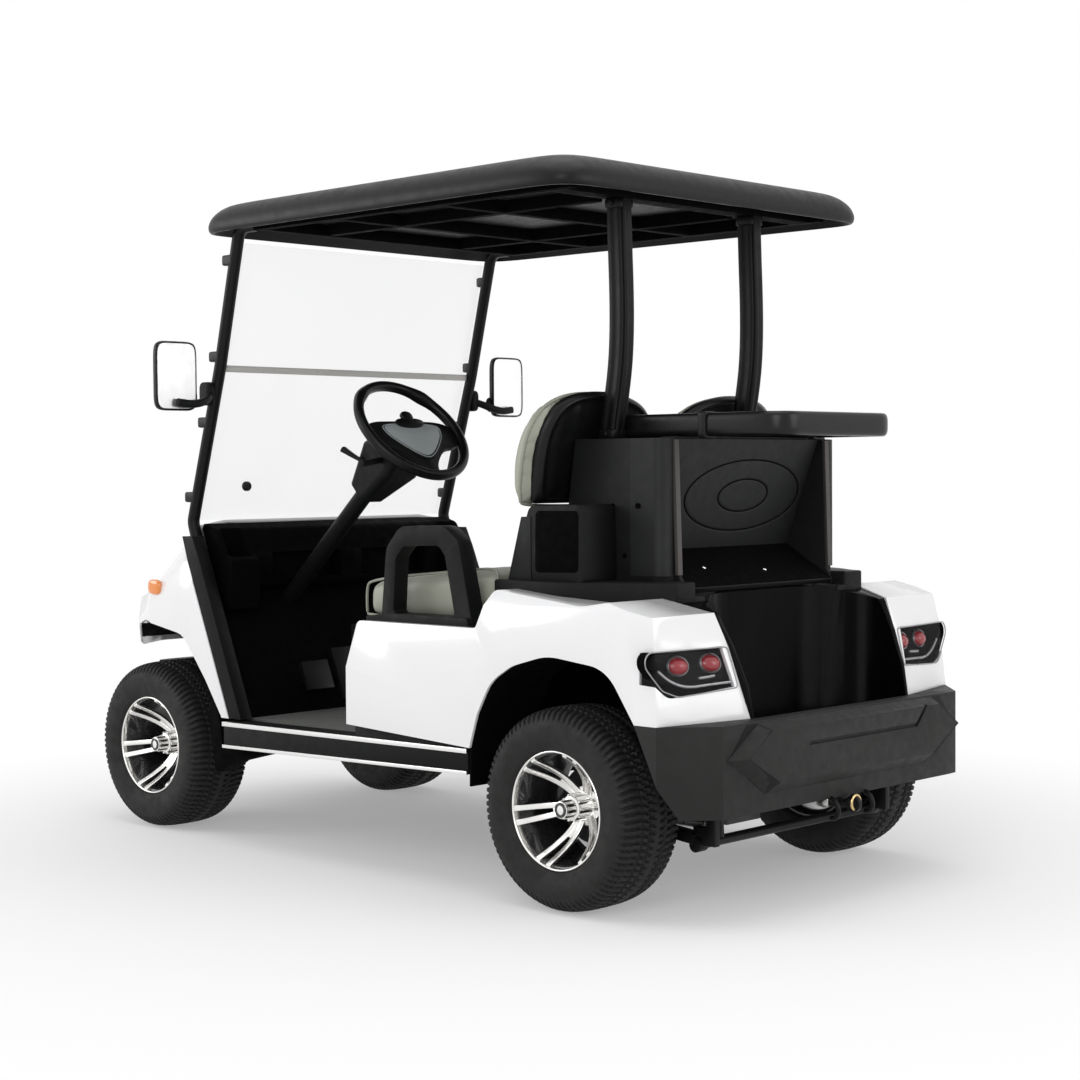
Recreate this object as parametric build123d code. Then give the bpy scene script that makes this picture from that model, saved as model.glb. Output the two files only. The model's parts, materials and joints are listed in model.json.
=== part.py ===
"""Two-seat electric golf cart, as separate pieces, each one solid or a mirrored pair.

Millimetres, +X forwards, +Y to the driver's left, +Z up. The origin is on the ground, midway
between the nose and the rear bumper. Outlines are short tables. Front bodywork is measured from
the front axle, rear bodywork from the rear axle, and heights from the ground.
"""

from build123d import *
from functools import cache
from math import atan2, cos, degrees, hypot, radians, sin
import os

# ---------------------------------------------------------------- driving dimensions
WHEELBASE = 1670
FRONT_OVERHANG = 310          # front axle to nose
REAR_OVERHANG = 450           # rear axle to the bumper's rear face
LENGTH = WHEELBASE + FRONT_OVERHANG + REAR_OVERHANG
NOSE_X = LENGTH / 2
TAIL_X = -LENGTH / 2
FRONT_X = NOSE_X - FRONT_OVERHANG
REAR_X = TAIL_X + REAR_OVERHANG

TYRE_RADIUS = 240
TYRE_WIDTH = 206
TYRE_SHOULDER = 34            # how far the tread's edge is rounded in
RIM_RADIUS = 140
RIM_WALL = 10
RIM_WIDTH = 178
SPOKES = 5
SPOKE_INSET = 12              # from the rim's outer edge to the spokes' face
FRONT_TRACK = 866             # between the tyres' middles
REAR_TRACK = 982
FRONT_WHEEL_Y = FRONT_TRACK / 2
REAR_WHEEL_Y = REAR_TRACK / 2
KINGPIN_Y = 345
HUB_Z = TYRE_RADIUS

REAR_HALF_WIDTH = 585         # white rear panels
FRONT_HALF_WIDTH = 540        # white cowl
SILL_HALF_WIDTH = 560         # black rocker
PANEL = 8                     # moulded panel wall
GAP = 0.3                     # between pieces that lie against each other

RAIL_Y = 170                  # frame rails' middles
RAIL_WIDTH = 50
RAIL_HEIGHT = 68
RAIL_TOP = 330
KICK_UP = 62                  # the rails' rise over the rear axle
FLOOR = 12                    # floor pan's wall
FLOOR_TOP = RAIL_TOP + FLOOR
MAT = 6

SEAT_Z = 640                  # top of the seat box
SEAT_FRONT_X = REAR_X + 715   # front face of the seat box
SEAT_REAR_X = REAR_X + 300
CUSHION_HALF_WIDTH = 490
CUSHION_FRONT_X = REAR_X + 775
CUSHION_REAR_X = REAR_X + 282

ROOF_TOP = 1775
ROOF_SKIRT_Z = 1684
ROOF_WALL = 10
ROOF_HALF_WIDTH = 600
ROOF_FRONT_X = FRONT_X - 322
ROOF_REAR_X = REAR_X - 62
POST_Y = 490                  # front posts
POST_RADIUS = 17
STRUT_Y = 257                 # rear struts
STRUT_LONG = 60
STRUT_WIDE = 44
CANOPY_TUBE = 30              # square tube under the roof
CANOPY_Z = 1703               # its middle

WHEEL_X = FRONT_X - 805       # steering wheel's middle
WHEEL_Y = 220
WHEEL_Z = 1141
WHEEL_RADIUS = 164            # to the rim's middle
WHEEL_RIM = 14                # rim's section radius
COLUMN_TILT = 41.9            # degrees above level
STEER_LOCK = 28               # degrees each way at the front wheels


# ---------------------------------------------------------------- shared shapes
def outline(rows, close=True):
    """A closed face from rows of (a, b) or (a, b, corner radius)."""
    corners = [(r[0], r[1]) for r in rows]
    radii = [r[2] if len(r) > 2 else 0 for r in rows]
    if not any(radii):
        return make_face(Polyline(*corners, close=close))
    return make_face(FilletPolyline(*corners, radius=radii, close=close))


def side(rows, y0, y1):
    """Rows of (x, z), as a prism from y0 to y1."""
    plane = Plane(origin=(0, max(y0, y1), 0), x_dir=(1, 0, 0), z_dir=(0, -1, 0))
    return extrude(plane * outline(rows), amount=abs(y1 - y0))


def plan(rows, z0, z1):
    """Rows of (x, y), as a prism from z0 to z1."""
    return extrude(Plane.XY.offset(z0) * outline(rows), amount=z1 - z0)


def front(rows, x0, x1):
    """Rows of (y, z), as a prism from x0 to x1."""
    return extrude(Plane.YZ.offset(x0) * outline(rows), amount=x1 - x0)


def block(x0, x1, y0, y1, z0, z1):
    return Pos((x0 + x1) / 2, (y0 + y1) / 2, (z0 + z1) / 2) * Box(
        abs(x1 - x0), abs(y1 - y0), abs(z1 - z0)
    )


def rod(start, end, radius):
    """A round bar between two points."""
    line = Line(start, end)
    return extrude(Plane(origin=start, z_dir=line % 0) * Circle(radius), amount=line.length)


def tube(points, radii, radius):
    """A round bar along straight runs joined by arcs."""
    path = FilletPolyline(*points, radius=radii)
    return sweep(Plane(origin=path @ 0, z_dir=path % 0) * Circle(radius), path=path)


def band(points, thick):
    """Outline rows of a strip of constant thickness, on the right of a run of (a, b) points."""
    normals = []
    for (a0, b0), (a1, b1) in zip(points, points[1:]):
        run = hypot(a1 - a0, b1 - b0)
        normals.append(((b1 - b0) / run, -(a1 - a0) / run))
    far = []
    for i, (a, b) in enumerate(points):
        before = normals[max(i - 1, 0)]
        after = normals[min(i, len(normals) - 1)]
        share = 1 + before[0] * after[0] + before[1] * after[1]
        far.append((a + thick * (before[0] + after[0]) / share,
                    b + thick * (before[1] + after[1]) / share))
    return list(points) + far[::-1]


def shifted(rows, dx):
    """Rows with their first column moved by dx."""
    return [(r[0] + dx, *r[1:]) for r in rows]


def both(shape):
    """A piece and its mirror image on the right-hand side."""
    return Compound([*shape.solids(), *mirror(shape, about=Plane.XZ).solids()])


def stack(sections):
    """Straight-sided loft through faces."""
    return loft(sections, ruled=True)


# ---------------------------------------------------------------- outlines, from the axles
# Rear wheel arch on the side panel: x from the rear axle, z, corner radius.
REAR_ARCH = [
    (283, 200, 0), (279, 363, 60), (251, 448, 120), (205, 527, 110), (134, 569, 120),
    (20, 600, 200), (-165, 580, 110), (-247, 461, 0), (-344, 257, 0), (-344, 200, 0),
]
# Top edge of the rear side panels: x from the rear axle, z, corner radius.
REAR_TOP = [
    (727, 531, 12), (680, 652, 20), (255, 652, 14), (205, 747, 20),
    (-85, 718, 120), (-163, 730, 10), (-280, 701, 6),
]
# Rear face of the side panels at four heights: z, outer x, outer y, inner x, inner y.
REAR_FACE = [
    (350, -300, 585, -378, 318), (460, -312, 585, -370, 322),
    (621, -300, 574, -322, 350), (760, -276, 556, -262, 358),
]
# The black tub between the side panels: x from the rear axle, half width.
TUB_PLAN = [(275, 500), (60, 500), (-85, 440), (-163, 384), (-262, 356), (-372, 319)]
# Front wheel arch on the cowl: x from the front axle, z, corner radius.
FRONT_ARCH = [
    (-420, 200, 0), (-361, 356, 10), (-292, 452, 60), (-190, 572, 80), (10, 606, 120),
    (120, 580, 60), (260, 492, 0), (260, 200, 0),
]
# Cowl sections: x from the front axle, side half width, shoulder z, top half width, top z.
COWL = [
    (-420, 540, 800, 470, 893), (-176, 540, 776, 470, 893), (-38, 540, 694, 440, 806),
    (98, 484, 664, 385, 722), (215, 396, 612, 305, 652), (290, 286, 545, 230, 588),
    (310, 262, 515, 210, 545),
]
COWL_LOW = 512                # the cowl's lower edge ahead of the front wheels
# Front post: x from the front axle, z, bend radius.
POST = [
    (-485, CANOPY_Z, 0), (-408, CANOPY_Z, 40), (-313, 1320, 900), (-180, 890, 40),
    (-218, 776, 60), (-409, 318, 0),
]
GLASS_TOP = 1665
GLASS_FOLD = 1320
GLASS_LOW = 893


def post_x(z):
    """The front post's middle at a height."""
    rows = POST
    for (x0, z0, _), (x1, z1, _) in zip(rows, rows[1:]):
        if min(z0, z1) <= z <= max(z0, z1):
            return FRONT_X + x0 + (x1 - x0) * (z - z0) / (z1 - z0)
    raise ValueError(z)


# ---------------------------------------------------------------- chassis
TOW_EYE_BORE = 10
TOW_EYE_RADIUS = 20
TOW_EYE_Z = 232
BUMPER_FACE_X = TAIL_X + 35   # the bumper's flat rear wall, behind its raised middle
RAIL_END_X = BUMPER_FACE_X + PANEL
OUTRIGGER_Y = 372
BUMPER_DEPTH = 46             # front bumper, front to back
FRAME_FRONT_X = NOSE_X - BUMPER_DEPTH - GAP
FLAP_Y = 472                  # mud flaps' inner edge
FLOOR_HALF_WIDTH = SILL_HALF_WIDTH - 62
WELL_WALL = 10
WELL_FLOOR_Z = RAIL_TOP + KICK_UP + GAP + WELL_WALL


def chassis_frame():
    """Two box rails that rise over the rear axle, cross-members, outriggers and the tow eye."""
    low = RAIL_TOP - RAIL_HEIGHT
    rail = side(
        band([(RAIL_END_X, RAIL_TOP + KICK_UP), (REAR_X + 170, RAIL_TOP + KICK_UP),
              (REAR_X + 290, RAIL_TOP), (FRAME_FRONT_X, RAIL_TOP)], RAIL_HEIGHT),
        RAIL_Y - RAIL_WIDTH / 2, RAIL_Y + RAIL_WIDTH / 2,
    )
    frame = rail + mirror(rail, about=Plane.XZ)
    high = RAIL_TOP + KICK_UP
    # Cross-members: x0, x1, half width, z0, z1
    rows = [
        (FRAME_FRONT_X - 40, FRAME_FRONT_X, RAIL_Y, low, RAIL_TOP),
        (FRONT_X - 20, FRONT_X + 20, RAIL_Y, low + 18, RAIL_TOP),
        (FRONT_X - 400, FRONT_X - 360, FLAP_Y - 6, low + 8, RAIL_TOP),
        (SEAT_FRONT_X - 60, SEAT_FRONT_X - 10, FLOOR_HALF_WIDTH, low + 8, RAIL_TOP),
        (REAR_X + 300, REAR_X + 340, OUTRIGGER_Y, low, RAIL_TOP),
        (REAR_X - 300, REAR_X - 260, OUTRIGGER_Y, low + KICK_UP, high - 20),
        (RAIL_END_X, RAIL_END_X + 40, 240, low + KICK_UP, high),
    ]
    for x0, x1, half, z0, z1 in rows:
        frame += block(x0, x1, -half, half, z0, z1)
    bar_z = TOW_EYE_Z
    frame += block(RAIL_END_X + 5, RAIL_END_X + 35, -25, 25, bar_z - 8, low + KICK_UP)
    frame += block(BUMPER_FACE_X - 2, RAIL_END_X + 35, -12, 12, bar_z - 8, bar_z + 8)
    eye_x = BUMPER_FACE_X - TOW_EYE_RADIUS + 6
    eye = Pos(eye_x, 0, bar_z) * Rot(90, 0, 0) * (
        Cylinder(TOW_EYE_RADIUS, 14) - Cylinder(TOW_EYE_BORE, 20)
    )
    frame += eye
    return frame - Pos(eye_x, 0, bar_z) * Rot(90, 0, 0) * Cylinder(TOW_EYE_BORE, 60)


# ---------------------------------------------------------------- front axle and steering
AXLE_BEAM_Z = 200
YOKE_LOW = 166
YOKE_HIGH = 314
YOKE_LUG = 16
YOKE_POCKET = 42              # kingpin to the yoke's web, clear of the turning arm
YOKE_WEB = 22
YOKE_HALF = 24
KINGPIN_RADIUS = 10
KNUCKLE_RADIUS = 22
SPINDLE_RADIUS = 18
ARM_REACH = 90                # kingpin to tie rod, along X
ARM_INSET = 12
ARM_THICK = 9
TIE_ROD_RADIUS = 9
TIE_ROD_EYE = 2 * TIE_ROD_RADIUS + 2
TIE_ROD_Z = YOKE_LOW + YOKE_LUG + 1 + ARM_THICK + GAP + TIE_ROD_EYE / 2
SPRING_WIDTH = 44
SPRING_THICK = 22


def front_axle():
    """A tube with a forked yoke and kingpin at each end, on two short leaf springs."""
    web = KINGPIN_Y - YOKE_POCKET
    yoke = block(FRONT_X - YOKE_HALF, FRONT_X + YOKE_HALF, web - YOKE_WEB,
                 KINGPIN_Y + KNUCKLE_RADIUS, YOKE_LOW, YOKE_HIGH)
    yoke -= block(FRONT_X - YOKE_HALF - 1, FRONT_X + YOKE_HALF + 1, web,
                  KINGPIN_Y + KNUCKLE_RADIUS + 1, YOKE_LOW + YOKE_LUG, YOKE_HIGH - YOKE_LUG)
    pin = Pos(FRONT_X, KINGPIN_Y, (YOKE_LOW + YOKE_HIGH) / 2) * Cylinder(
        KINGPIN_RADIUS, YOKE_HIGH - YOKE_LOW
    )
    beam = rod((FRONT_X, 0, AXLE_BEAM_Z), (FRONT_X, web - YOKE_WEB / 2, AXLE_BEAM_Z), 22)
    half = yoke + pin + beam
    low = RAIL_TOP - RAIL_HEIGHT
    # Leaf spring on the beam, its eyes under the rail: x from the axle, z.
    leaf = side(
        shifted(band([(-250, low - GAP), (-180, low - 12), (0, AXLE_BEAM_Z + 34),
                      (180, low - 12), (250, low - GAP)], SPRING_THICK), FRONT_X),
        RAIL_Y - SPRING_WIDTH / 2, RAIL_Y + SPRING_WIDTH / 2,
    )
    half += leaf
    half += block(FRONT_X - 36, FRONT_X + 36, RAIL_Y - 30, RAIL_Y + 30,
                  AXLE_BEAM_Z - 20, AXLE_BEAM_Z + 18)
    return half + mirror(half, about=Plane.XZ)


def knuckle(sign):
    """Steering knuckle on the kingpin, with the spindle and the tie rod's arm."""
    low = YOKE_LOW + YOKE_LUG + 1
    high = YOKE_HIGH - YOKE_LUG - 1
    body = Pos(FRONT_X, KINGPIN_Y, (low + high) / 2) * Cylinder(KNUCKLE_RADIUS, high - low)
    body += rod((FRONT_X, KINGPIN_Y, HUB_Z), (FRONT_X, hub_outer(FRONT_WHEEL_Y) - 9, HUB_Z),
                SPINDLE_RADIUS)
    end_x = FRONT_X - ARM_REACH
    end_y = KINGPIN_Y - ARM_INSET
    body += plan([(FRONT_X, KINGPIN_Y - 14), (FRONT_X, KINGPIN_Y + 14),
                  (end_x, end_y + 13), (end_x, end_y - 13)], low, low + ARM_THICK)
    body += Pos(end_x, end_y, low + ARM_THICK / 2) * Cylinder(15, ARM_THICK)
    body -= Pos(FRONT_X, KINGPIN_Y, HUB_Z) * Cylinder(KINGPIN_RADIUS + 0.4, 400)
    return body if sign > 0 else mirror(body, about=Plane.XZ)


def tie_rod():
    """Cross tube between the steering arms, an eye over each arm."""
    x = FRONT_X - ARM_REACH
    end_y = KINGPIN_Y - ARM_INSET
    bar = rod((x, -end_y, TIE_ROD_Z), (x, end_y, TIE_ROD_Z), TIE_ROD_RADIUS)
    for y in (-end_y, end_y):
        bar += Pos(x, y, TIE_ROD_Z) * Cylinder(14, TIE_ROD_EYE)
    return bar


# ---------------------------------------------------------------- wheels
def hub_outer(wheel_y):
    """The spokes' outer face."""
    return wheel_y + RIM_WIDTH / 2 - SPOKE_INSET


HUB_DEPTH = 60
SPOKE_DEPTH = 22
HUB_RADIUS = 44
HUB_BORE = SPINDLE_RADIUS + 0.5
CAP_RADIUS = 31


@cache
def rim(x, wheel_y):
    """Barrel with lips, five split spokes and a hub with its centre cap. Facing +Y at wheel_y."""
    inner = RIM_RADIUS - RIM_WALL
    half = RIM_WIDTH / 2
    barrel = Cylinder(RIM_RADIUS, RIM_WIDTH) - Cylinder(inner, RIM_WIDTH + 2)
    face_z = half - SPOKE_INSET
    spoke_z = face_z - SPOKE_DEPTH / 2
    wheel = barrel
    wheel += Pos(0, 0, face_z - HUB_DEPTH / 2) * Cylinder(HUB_RADIUS, HUB_DEPTH)
    for i in range(SPOKES):
        turn = Rot(0, 0, 90 + 360 * i / SPOKES)
        for lean in (-1, 1):
            bar = plan([(HUB_RADIUS - 8, lean * 6), (inner + 3, lean * 12),
                        (inner + 3, lean * 31), (HUB_RADIUS - 8, lean * 21)][::lean],
                       spoke_z - SPOKE_DEPTH / 2, spoke_z + SPOKE_DEPTH / 2)
            wheel += turn * bar
    wheel += Pos(0, 0, face_z + 4) * Cylinder(CAP_RADIUS, 8)
    wheel -= Pos(0, 0, face_z - HUB_DEPTH + 22) * Cylinder(HUB_BORE, 60)
    return Pos(x, wheel_y, HUB_Z) * Rot(-90, 0, 0) * wheel


@cache
def tyre(x, wheel_y):
    """Low-pressure turf tyre, its section turned about the axle."""
    half = TYRE_WIDTH / 2
    bead = RIM_WIDTH / 2
    section = [
        (RIM_RADIUS + GAP, -bead), (RIM_RADIUS + 26, -half + 3), (RIM_RADIUS + 56, -half),
        (TYRE_RADIUS - TYRE_SHOULDER, -half + 6), (TYRE_RADIUS - 8, -half + 20),
        (TYRE_RADIUS, -half + TYRE_SHOULDER + 12),
    ]
    rows = section + [(r, -w) for r, w in section[::-1]]
    shape = revolve(Plane.XZ * outline([(r, w) for r, w in rows]), axis=Axis.Z)
    return Pos(x, wheel_y, HUB_Z) * Rot(-90, 0, 0) * shape


# ---------------------------------------------------------------- rear axle
AXLE_TUBE = 38
DRUM_RADIUS = 92
DRUM_WIDTH = 46


def rear_axle():
    """Transaxle: tube, gear case, brake drums and stub shafts, with the motor as one block."""
    flange = REAR_WHEEL_Y - RIM_WIDTH / 2 + 8
    half = rod((REAR_X, 0, HUB_Z), (REAR_X, flange, HUB_Z), AXLE_TUBE)
    half += rod((REAR_X, flange - 2, HUB_Z), (REAR_X, flange + DRUM_WIDTH, HUB_Z), DRUM_RADIUS)
    half += rod((REAR_X, flange, HUB_Z), (REAR_X, hub_outer(REAR_WHEEL_Y) - 9, HUB_Z),
                SPINDLE_RADIUS)
    axle = half + mirror(half, about=Plane.XZ)
    axle += block(REAR_X - 95, REAR_X + 105, -72, 62, HUB_Z - 90, HUB_Z + 70)
    axle += rod((REAR_X + 165, -118, HUB_Z + 12), (REAR_X + 165, 125, HUB_Z + 12), 84)
    return axle


SPRING_Y = 346
REAR_SPRING_FRONT = 320       # spring eyes, from the axle
REAR_SPRING_REAR = -240
STABILISER_Z = 160
STABILISER_RADIUS = 12
SHACKLE_HALF = 9              # half the shackles' width
SHOCK_Y = 280


def rear_suspension():
    """Leaf springs under the axle, shackles, shock absorbers and the stabiliser bar."""
    low = RAIL_TOP - RAIL_HEIGHT
    top = HUB_Z - AXLE_TUBE
    x_front = REAR_X + REAR_SPRING_FRONT
    x_rear = REAR_X + REAR_SPRING_REAR
    leaf = side(
        band([(x_rear, top - 18), (REAR_X - 60, top - GAP), (REAR_X + 60, top - GAP),
              (x_front, low - 24)], SPRING_THICK),
        SPRING_Y - SPRING_WIDTH / 2, SPRING_Y + SPRING_WIDTH / 2,
    )
    half = leaf
    half += block(x_front - 22, x_front + 18, SPRING_Y - 26, SPRING_Y + 26, low - 60, low - GAP)
    shackle_x = REAR_X - 280
    half += block(shackle_x - 12, x_rear + 12, SPRING_Y - SHACKLE_HALF, SPRING_Y + SHACKLE_HALF,
                  STABILISER_Z, top)
    half += block(shackle_x - 12, shackle_x + 12, SPRING_Y - SHACKLE_HALF,
                  SPRING_Y + SHACKLE_HALF, top - 2, low + KICK_UP - GAP)
    half += rod((x_rear, 0, STABILISER_Z), (x_rear, SPRING_Y, STABILISER_Z), STABILISER_RADIUS)
    half += rod((x_rear, SPRING_Y - 12, STABILISER_Z), (x_rear, SPRING_Y + 18, STABILISER_Z),
                STABILISER_RADIUS + 5)
    half += rod((x_rear + 5, SHOCK_Y, STABILISER_Z + 8), (x_rear + 12, SHOCK_Y, 290), 20)
    half += rod((x_rear + 5, SHOCK_Y, 280), (x_rear + 12, SHOCK_Y, low + KICK_UP + 14), 11)
    half += block(x_rear - 6, x_rear + 30, RAIL_Y + RAIL_WIDTH / 2 + GAP, SHOCK_Y + 12,
                  low + KICK_UP + 2, low + KICK_UP + 26)
    return half + mirror(half, about=Plane.XZ)


# ---------------------------------------------------------------- floor, sills and seat box
TOE_X = FRONT_X - 412         # where the floor turns up into the toe board
TOE_TOP_X = FRONT_X - 224
TOE_TOP_Z = 781
CABIN_HALF_WIDTH = 486
TOE_HALF_WIDTH = POST_Y - POST_RADIUS - 3


def floor_pan():
    """Floor under the feet and the batteries, turned up in front as the toe board."""
    flat = block(SEAT_REAR_X, FRONT_X - 366, -FLOOR_HALF_WIDTH, FLOOR_HALF_WIDTH,
                 RAIL_TOP, FLOOR_TOP)
    toe = side(band([(TOE_X - 60, FLOOR_TOP), (TOE_X, FLOOR_TOP), (TOE_TOP_X, TOE_TOP_Z)], FLOOR),
               -TOE_HALF_WIDTH, TOE_HALF_WIDTH)
    return flat + toe


def floor_mat():
    """Rubber mat between the seat box and the toe board."""
    return block(SEAT_FRONT_X + 6, TOE_X - 8, -CABIN_HALF_WIDTH, CABIN_HALF_WIDTH,
                 FLOOR_TOP, FLOOR_TOP + MAT)


SILL_FRONT_X = FRONT_X - 399
SILL_REAR_X = REAR_X + 308
SILL_LOW = 272                # the sill's edges at its front end
SILL_TOP = 344
SILL_LOW_RISE = 20            # how much higher they are at its rear end
SILL_TOP_RISE = 12
TRIM_PROUD = 6
TRIM_HIGH = 12
TRIM_LOW = 9


def rocker_panels():
    """Sill under each doorway, with a step up behind the doorway."""
    inner = FLOOR_HALF_WIDTH + GAP
    rear_top = SILL_TOP + SILL_TOP_RISE
    sill = side([(SILL_REAR_X, SILL_LOW + SILL_LOW_RISE), (SILL_FRONT_X, SILL_LOW),
                 (SILL_FRONT_X, SILL_TOP), (SILL_REAR_X, rear_top)], inner, SILL_HALF_WIDTH)
    sill += block(SILL_REAR_X, SEAT_FRONT_X + 8, inner, SILL_HALF_WIDTH, SILL_TOP,
                  SEAT_LOW_Z - GAP)
    return both(sill)


def rocker_trims():
    """Two bright strips along each sill."""
    strips = []
    # Height at the front end, rise to the rear end, the strip's own height
    for z, rise, tall in ((SILL_TOP - TRIM_HIGH, SILL_TOP_RISE, TRIM_HIGH),
                          (SILL_LOW, SILL_LOW_RISE, TRIM_LOW)):
        rows = [(SILL_REAR_X, z + rise), (SILL_FRONT_X, z), (SILL_FRONT_X, z + tall),
                (SILL_REAR_X, z + rise + tall)]
        strip = side(rows, SILL_HALF_WIDTH + GAP / 3, SILL_HALF_WIDTH + TRIM_PROUD)
        strips += both(strip).solids()
    return Compound(strips)


SEAT_WALL = 12
SEAT_LOW_Z = 386              # lower edge of the seat box outside the sills
SEAT_BOX_HALF = REAR_HALF_WIDTH - PANEL - GAP


def seat_base():
    """Open-topped seat box: kick panel, sides, rear wall and a rim for the seat lid."""
    z0 = SEAT_LOW_Z
    narrow = FLOOR_HALF_WIDTH - 1
    box = block(SEAT_REAR_X, SEAT_FRONT_X, -SEAT_BOX_HALF, SEAT_BOX_HALF, z0, SEAT_Z)
    box += block(SEAT_REAR_X, SEAT_FRONT_X, -narrow, narrow, FLOOR_TOP, z0 + 1)
    cut = block(SEAT_REAR_X + SEAT_WALL, SEAT_FRONT_X - SEAT_WALL,
                -SEAT_BOX_HALF + SEAT_WALL, SEAT_BOX_HALF - SEAT_WALL, z0 + SEAT_WALL,
                SEAT_Z - SEAT_WALL)
    cut += block(SEAT_REAR_X + SEAT_WALL, SEAT_FRONT_X - SEAT_WALL, -narrow + SEAT_WALL,
                 narrow - SEAT_WALL, FLOOR_TOP - 1, z0 + SEAT_WALL + 1)
    mouth = block(SEAT_REAR_X + 45, SEAT_FRONT_X - 45, -CUSHION_HALF_WIDTH + 30,
                  CUSHION_HALF_WIDTH - 30, SEAT_Z - SEAT_WALL - 1, SEAT_Z + 1)
    return box - cut - mouth


def battery_pack():
    """Traction batteries as one plain block on the floor pan."""
    return block(SEAT_REAR_X + 40, SEAT_FRONT_X - 60, -400, 400, FLOOR_TOP, FLOOR_TOP + 230)


# ---------------------------------------------------------------- seats
LID = 10
LID_HINGE_X = CUSHION_FRONT_X - 30
LID_HINGE_Z = SEAT_Z + LID / 2
BACK_BOTTOM_Z = 930
BACK_TOP_Z = 1230
BACK_GAP = 24                 # between the two seat backs
SHELL = 34


def seat_cushion():
    """Bench cushion on its board, which is hinged along the seat box's front edge."""
    z0 = SEAT_Z + LID
    pad = side([(CUSHION_REAR_X, z0), (CUSHION_FRONT_X, z0, 18), (CUSHION_FRONT_X, z0 + 92, 46),
                (CUSHION_FRONT_X - 170, z0 + 118, 120), (CUSHION_REAR_X + 10, z0 + 146, 24)],
               -CUSHION_HALF_WIDTH, CUSHION_HALF_WIDTH)
    return pad


def seat_lid():
    """Board under the bench cushion, its front edge rounded about the hinge's axis."""
    half = CUSHION_HALF_WIDTH - 14
    nose = LID / 2 - GAP
    board = block(CUSHION_REAR_X + 20, LID_HINGE_X, -half, half, SEAT_Z + GAP,
                  LID_HINGE_Z + nose)
    board += block(CUSHION_REAR_X + 20, LID_HINGE_X - 2 * LID, -half, half, SEAT_Z + LID / 2,
                   SEAT_Z + LID)
    return board + rod((LID_HINGE_X, -half, LID_HINGE_Z), (LID_HINGE_X, half, LID_HINGE_Z), nose)


LOBE = [
    (BACK_GAP / 2, BACK_BOTTOM_Z, 40), (480, BACK_BOTTOM_Z, 60), (488, 1120, 60),
    (440, BACK_TOP_Z, 110), (60, BACK_TOP_Z, 110), (BACK_GAP / 2, 1130, 60),
]


def seat_back_cushions():
    """Two padded lobes, their outline cut from a leaning profile."""
    rows = [(218, BACK_BOTTOM_Z, 20), (256, 985, 60), (236, 1110, 80), (172, BACK_TOP_Z, 14),
            (138, BACK_TOP_Z + 4, 0), (176, 1100, 60), (206, BACK_BOTTOM_Z, 0)]
    profile = side(shifted(rows, REAR_X), 0, REAR_HALF_WIDTH)
    return both(profile & front(LOBE, REAR_X, REAR_X + 400))


# Rear face of the shells: x from the rear axle, z.
SHELL_REAR = [(168, BACK_BOTTOM_Z - 6), (135, 1140), (118, BACK_TOP_Z + 4)]


def shell_rear_x(z):
    """The shells' rear face, below its upper bend."""
    (x0, z0), (x1, z1) = SHELL_REAR[:2]
    return REAR_X + x0 + (x1 - x0) * (z - z0) / (z1 - z0)


def seat_back_shells():
    """Moulded shell behind each lobe."""
    rows = [(206 - GAP, BACK_BOTTOM_Z - 6), (176 - GAP, 1100, 60), (138 - GAP, BACK_TOP_Z + 4),
            *SHELL_REAR[::-1]]
    profile = side(shifted(rows, REAR_X), 0, REAR_HALF_WIDTH)
    grown = front([(y + (3 if y > 250 else -3), z + (3 if z > 1000 else -3), *r)
                   for y, z, *r in LOBE], REAR_X, REAR_X + 400)
    return both(profile & grown)


ARM_Y0 = 500
ARM_Y1 = 546


def armrests():
    """Hip restraint at each end of the bench: a foot, two legs and a hand grip."""
    z0 = SEAT_Z + GAP
    foot = side(shifted([(675, z0), (675, z0 + 22), (600, z0 + 32), (310, z0 + 32),
                         (302, z0)], REAR_X), ARM_Y0, SILL_HALF_WIDTH - GAP)
    ring = side(shifted([(632, z0 + 18), (612, 836, 40), (560, 892, 50), (400, 895, 60),
                         (352, 860, 30), (304, z0 + 18)], REAR_X), ARM_Y0, ARM_Y1)
    hole = side(shifted([(588, z0 + 32, 10), (578, 812, 30), (548, 842, 24), (420, 846, 24),
                         (398, 822, 20), (364, z0 + 32, 10)], REAR_X), ARM_Y0 - 5, ARM_Y1 + 5)
    return both(foot + (ring - hole))


# ---------------------------------------------------------------- rear bodywork
DECK_TOP = 766
DECK_LOW = 700
PANEL_LOW = 384               # the side panels' lower edge, at the doorway and at the arch
PANEL_LOW_REAR = 362
BUMPER_LOW = 252
BUMPER_TOP = 460


def tub_edge(extra):
    """Plan outline of the black tub, its half width grown by extra."""
    rows = [(REAR_X + x, y + extra) for x, y in TUB_PLAN]
    return rows + [(x, -y) for x, y in rows[::-1]]


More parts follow.
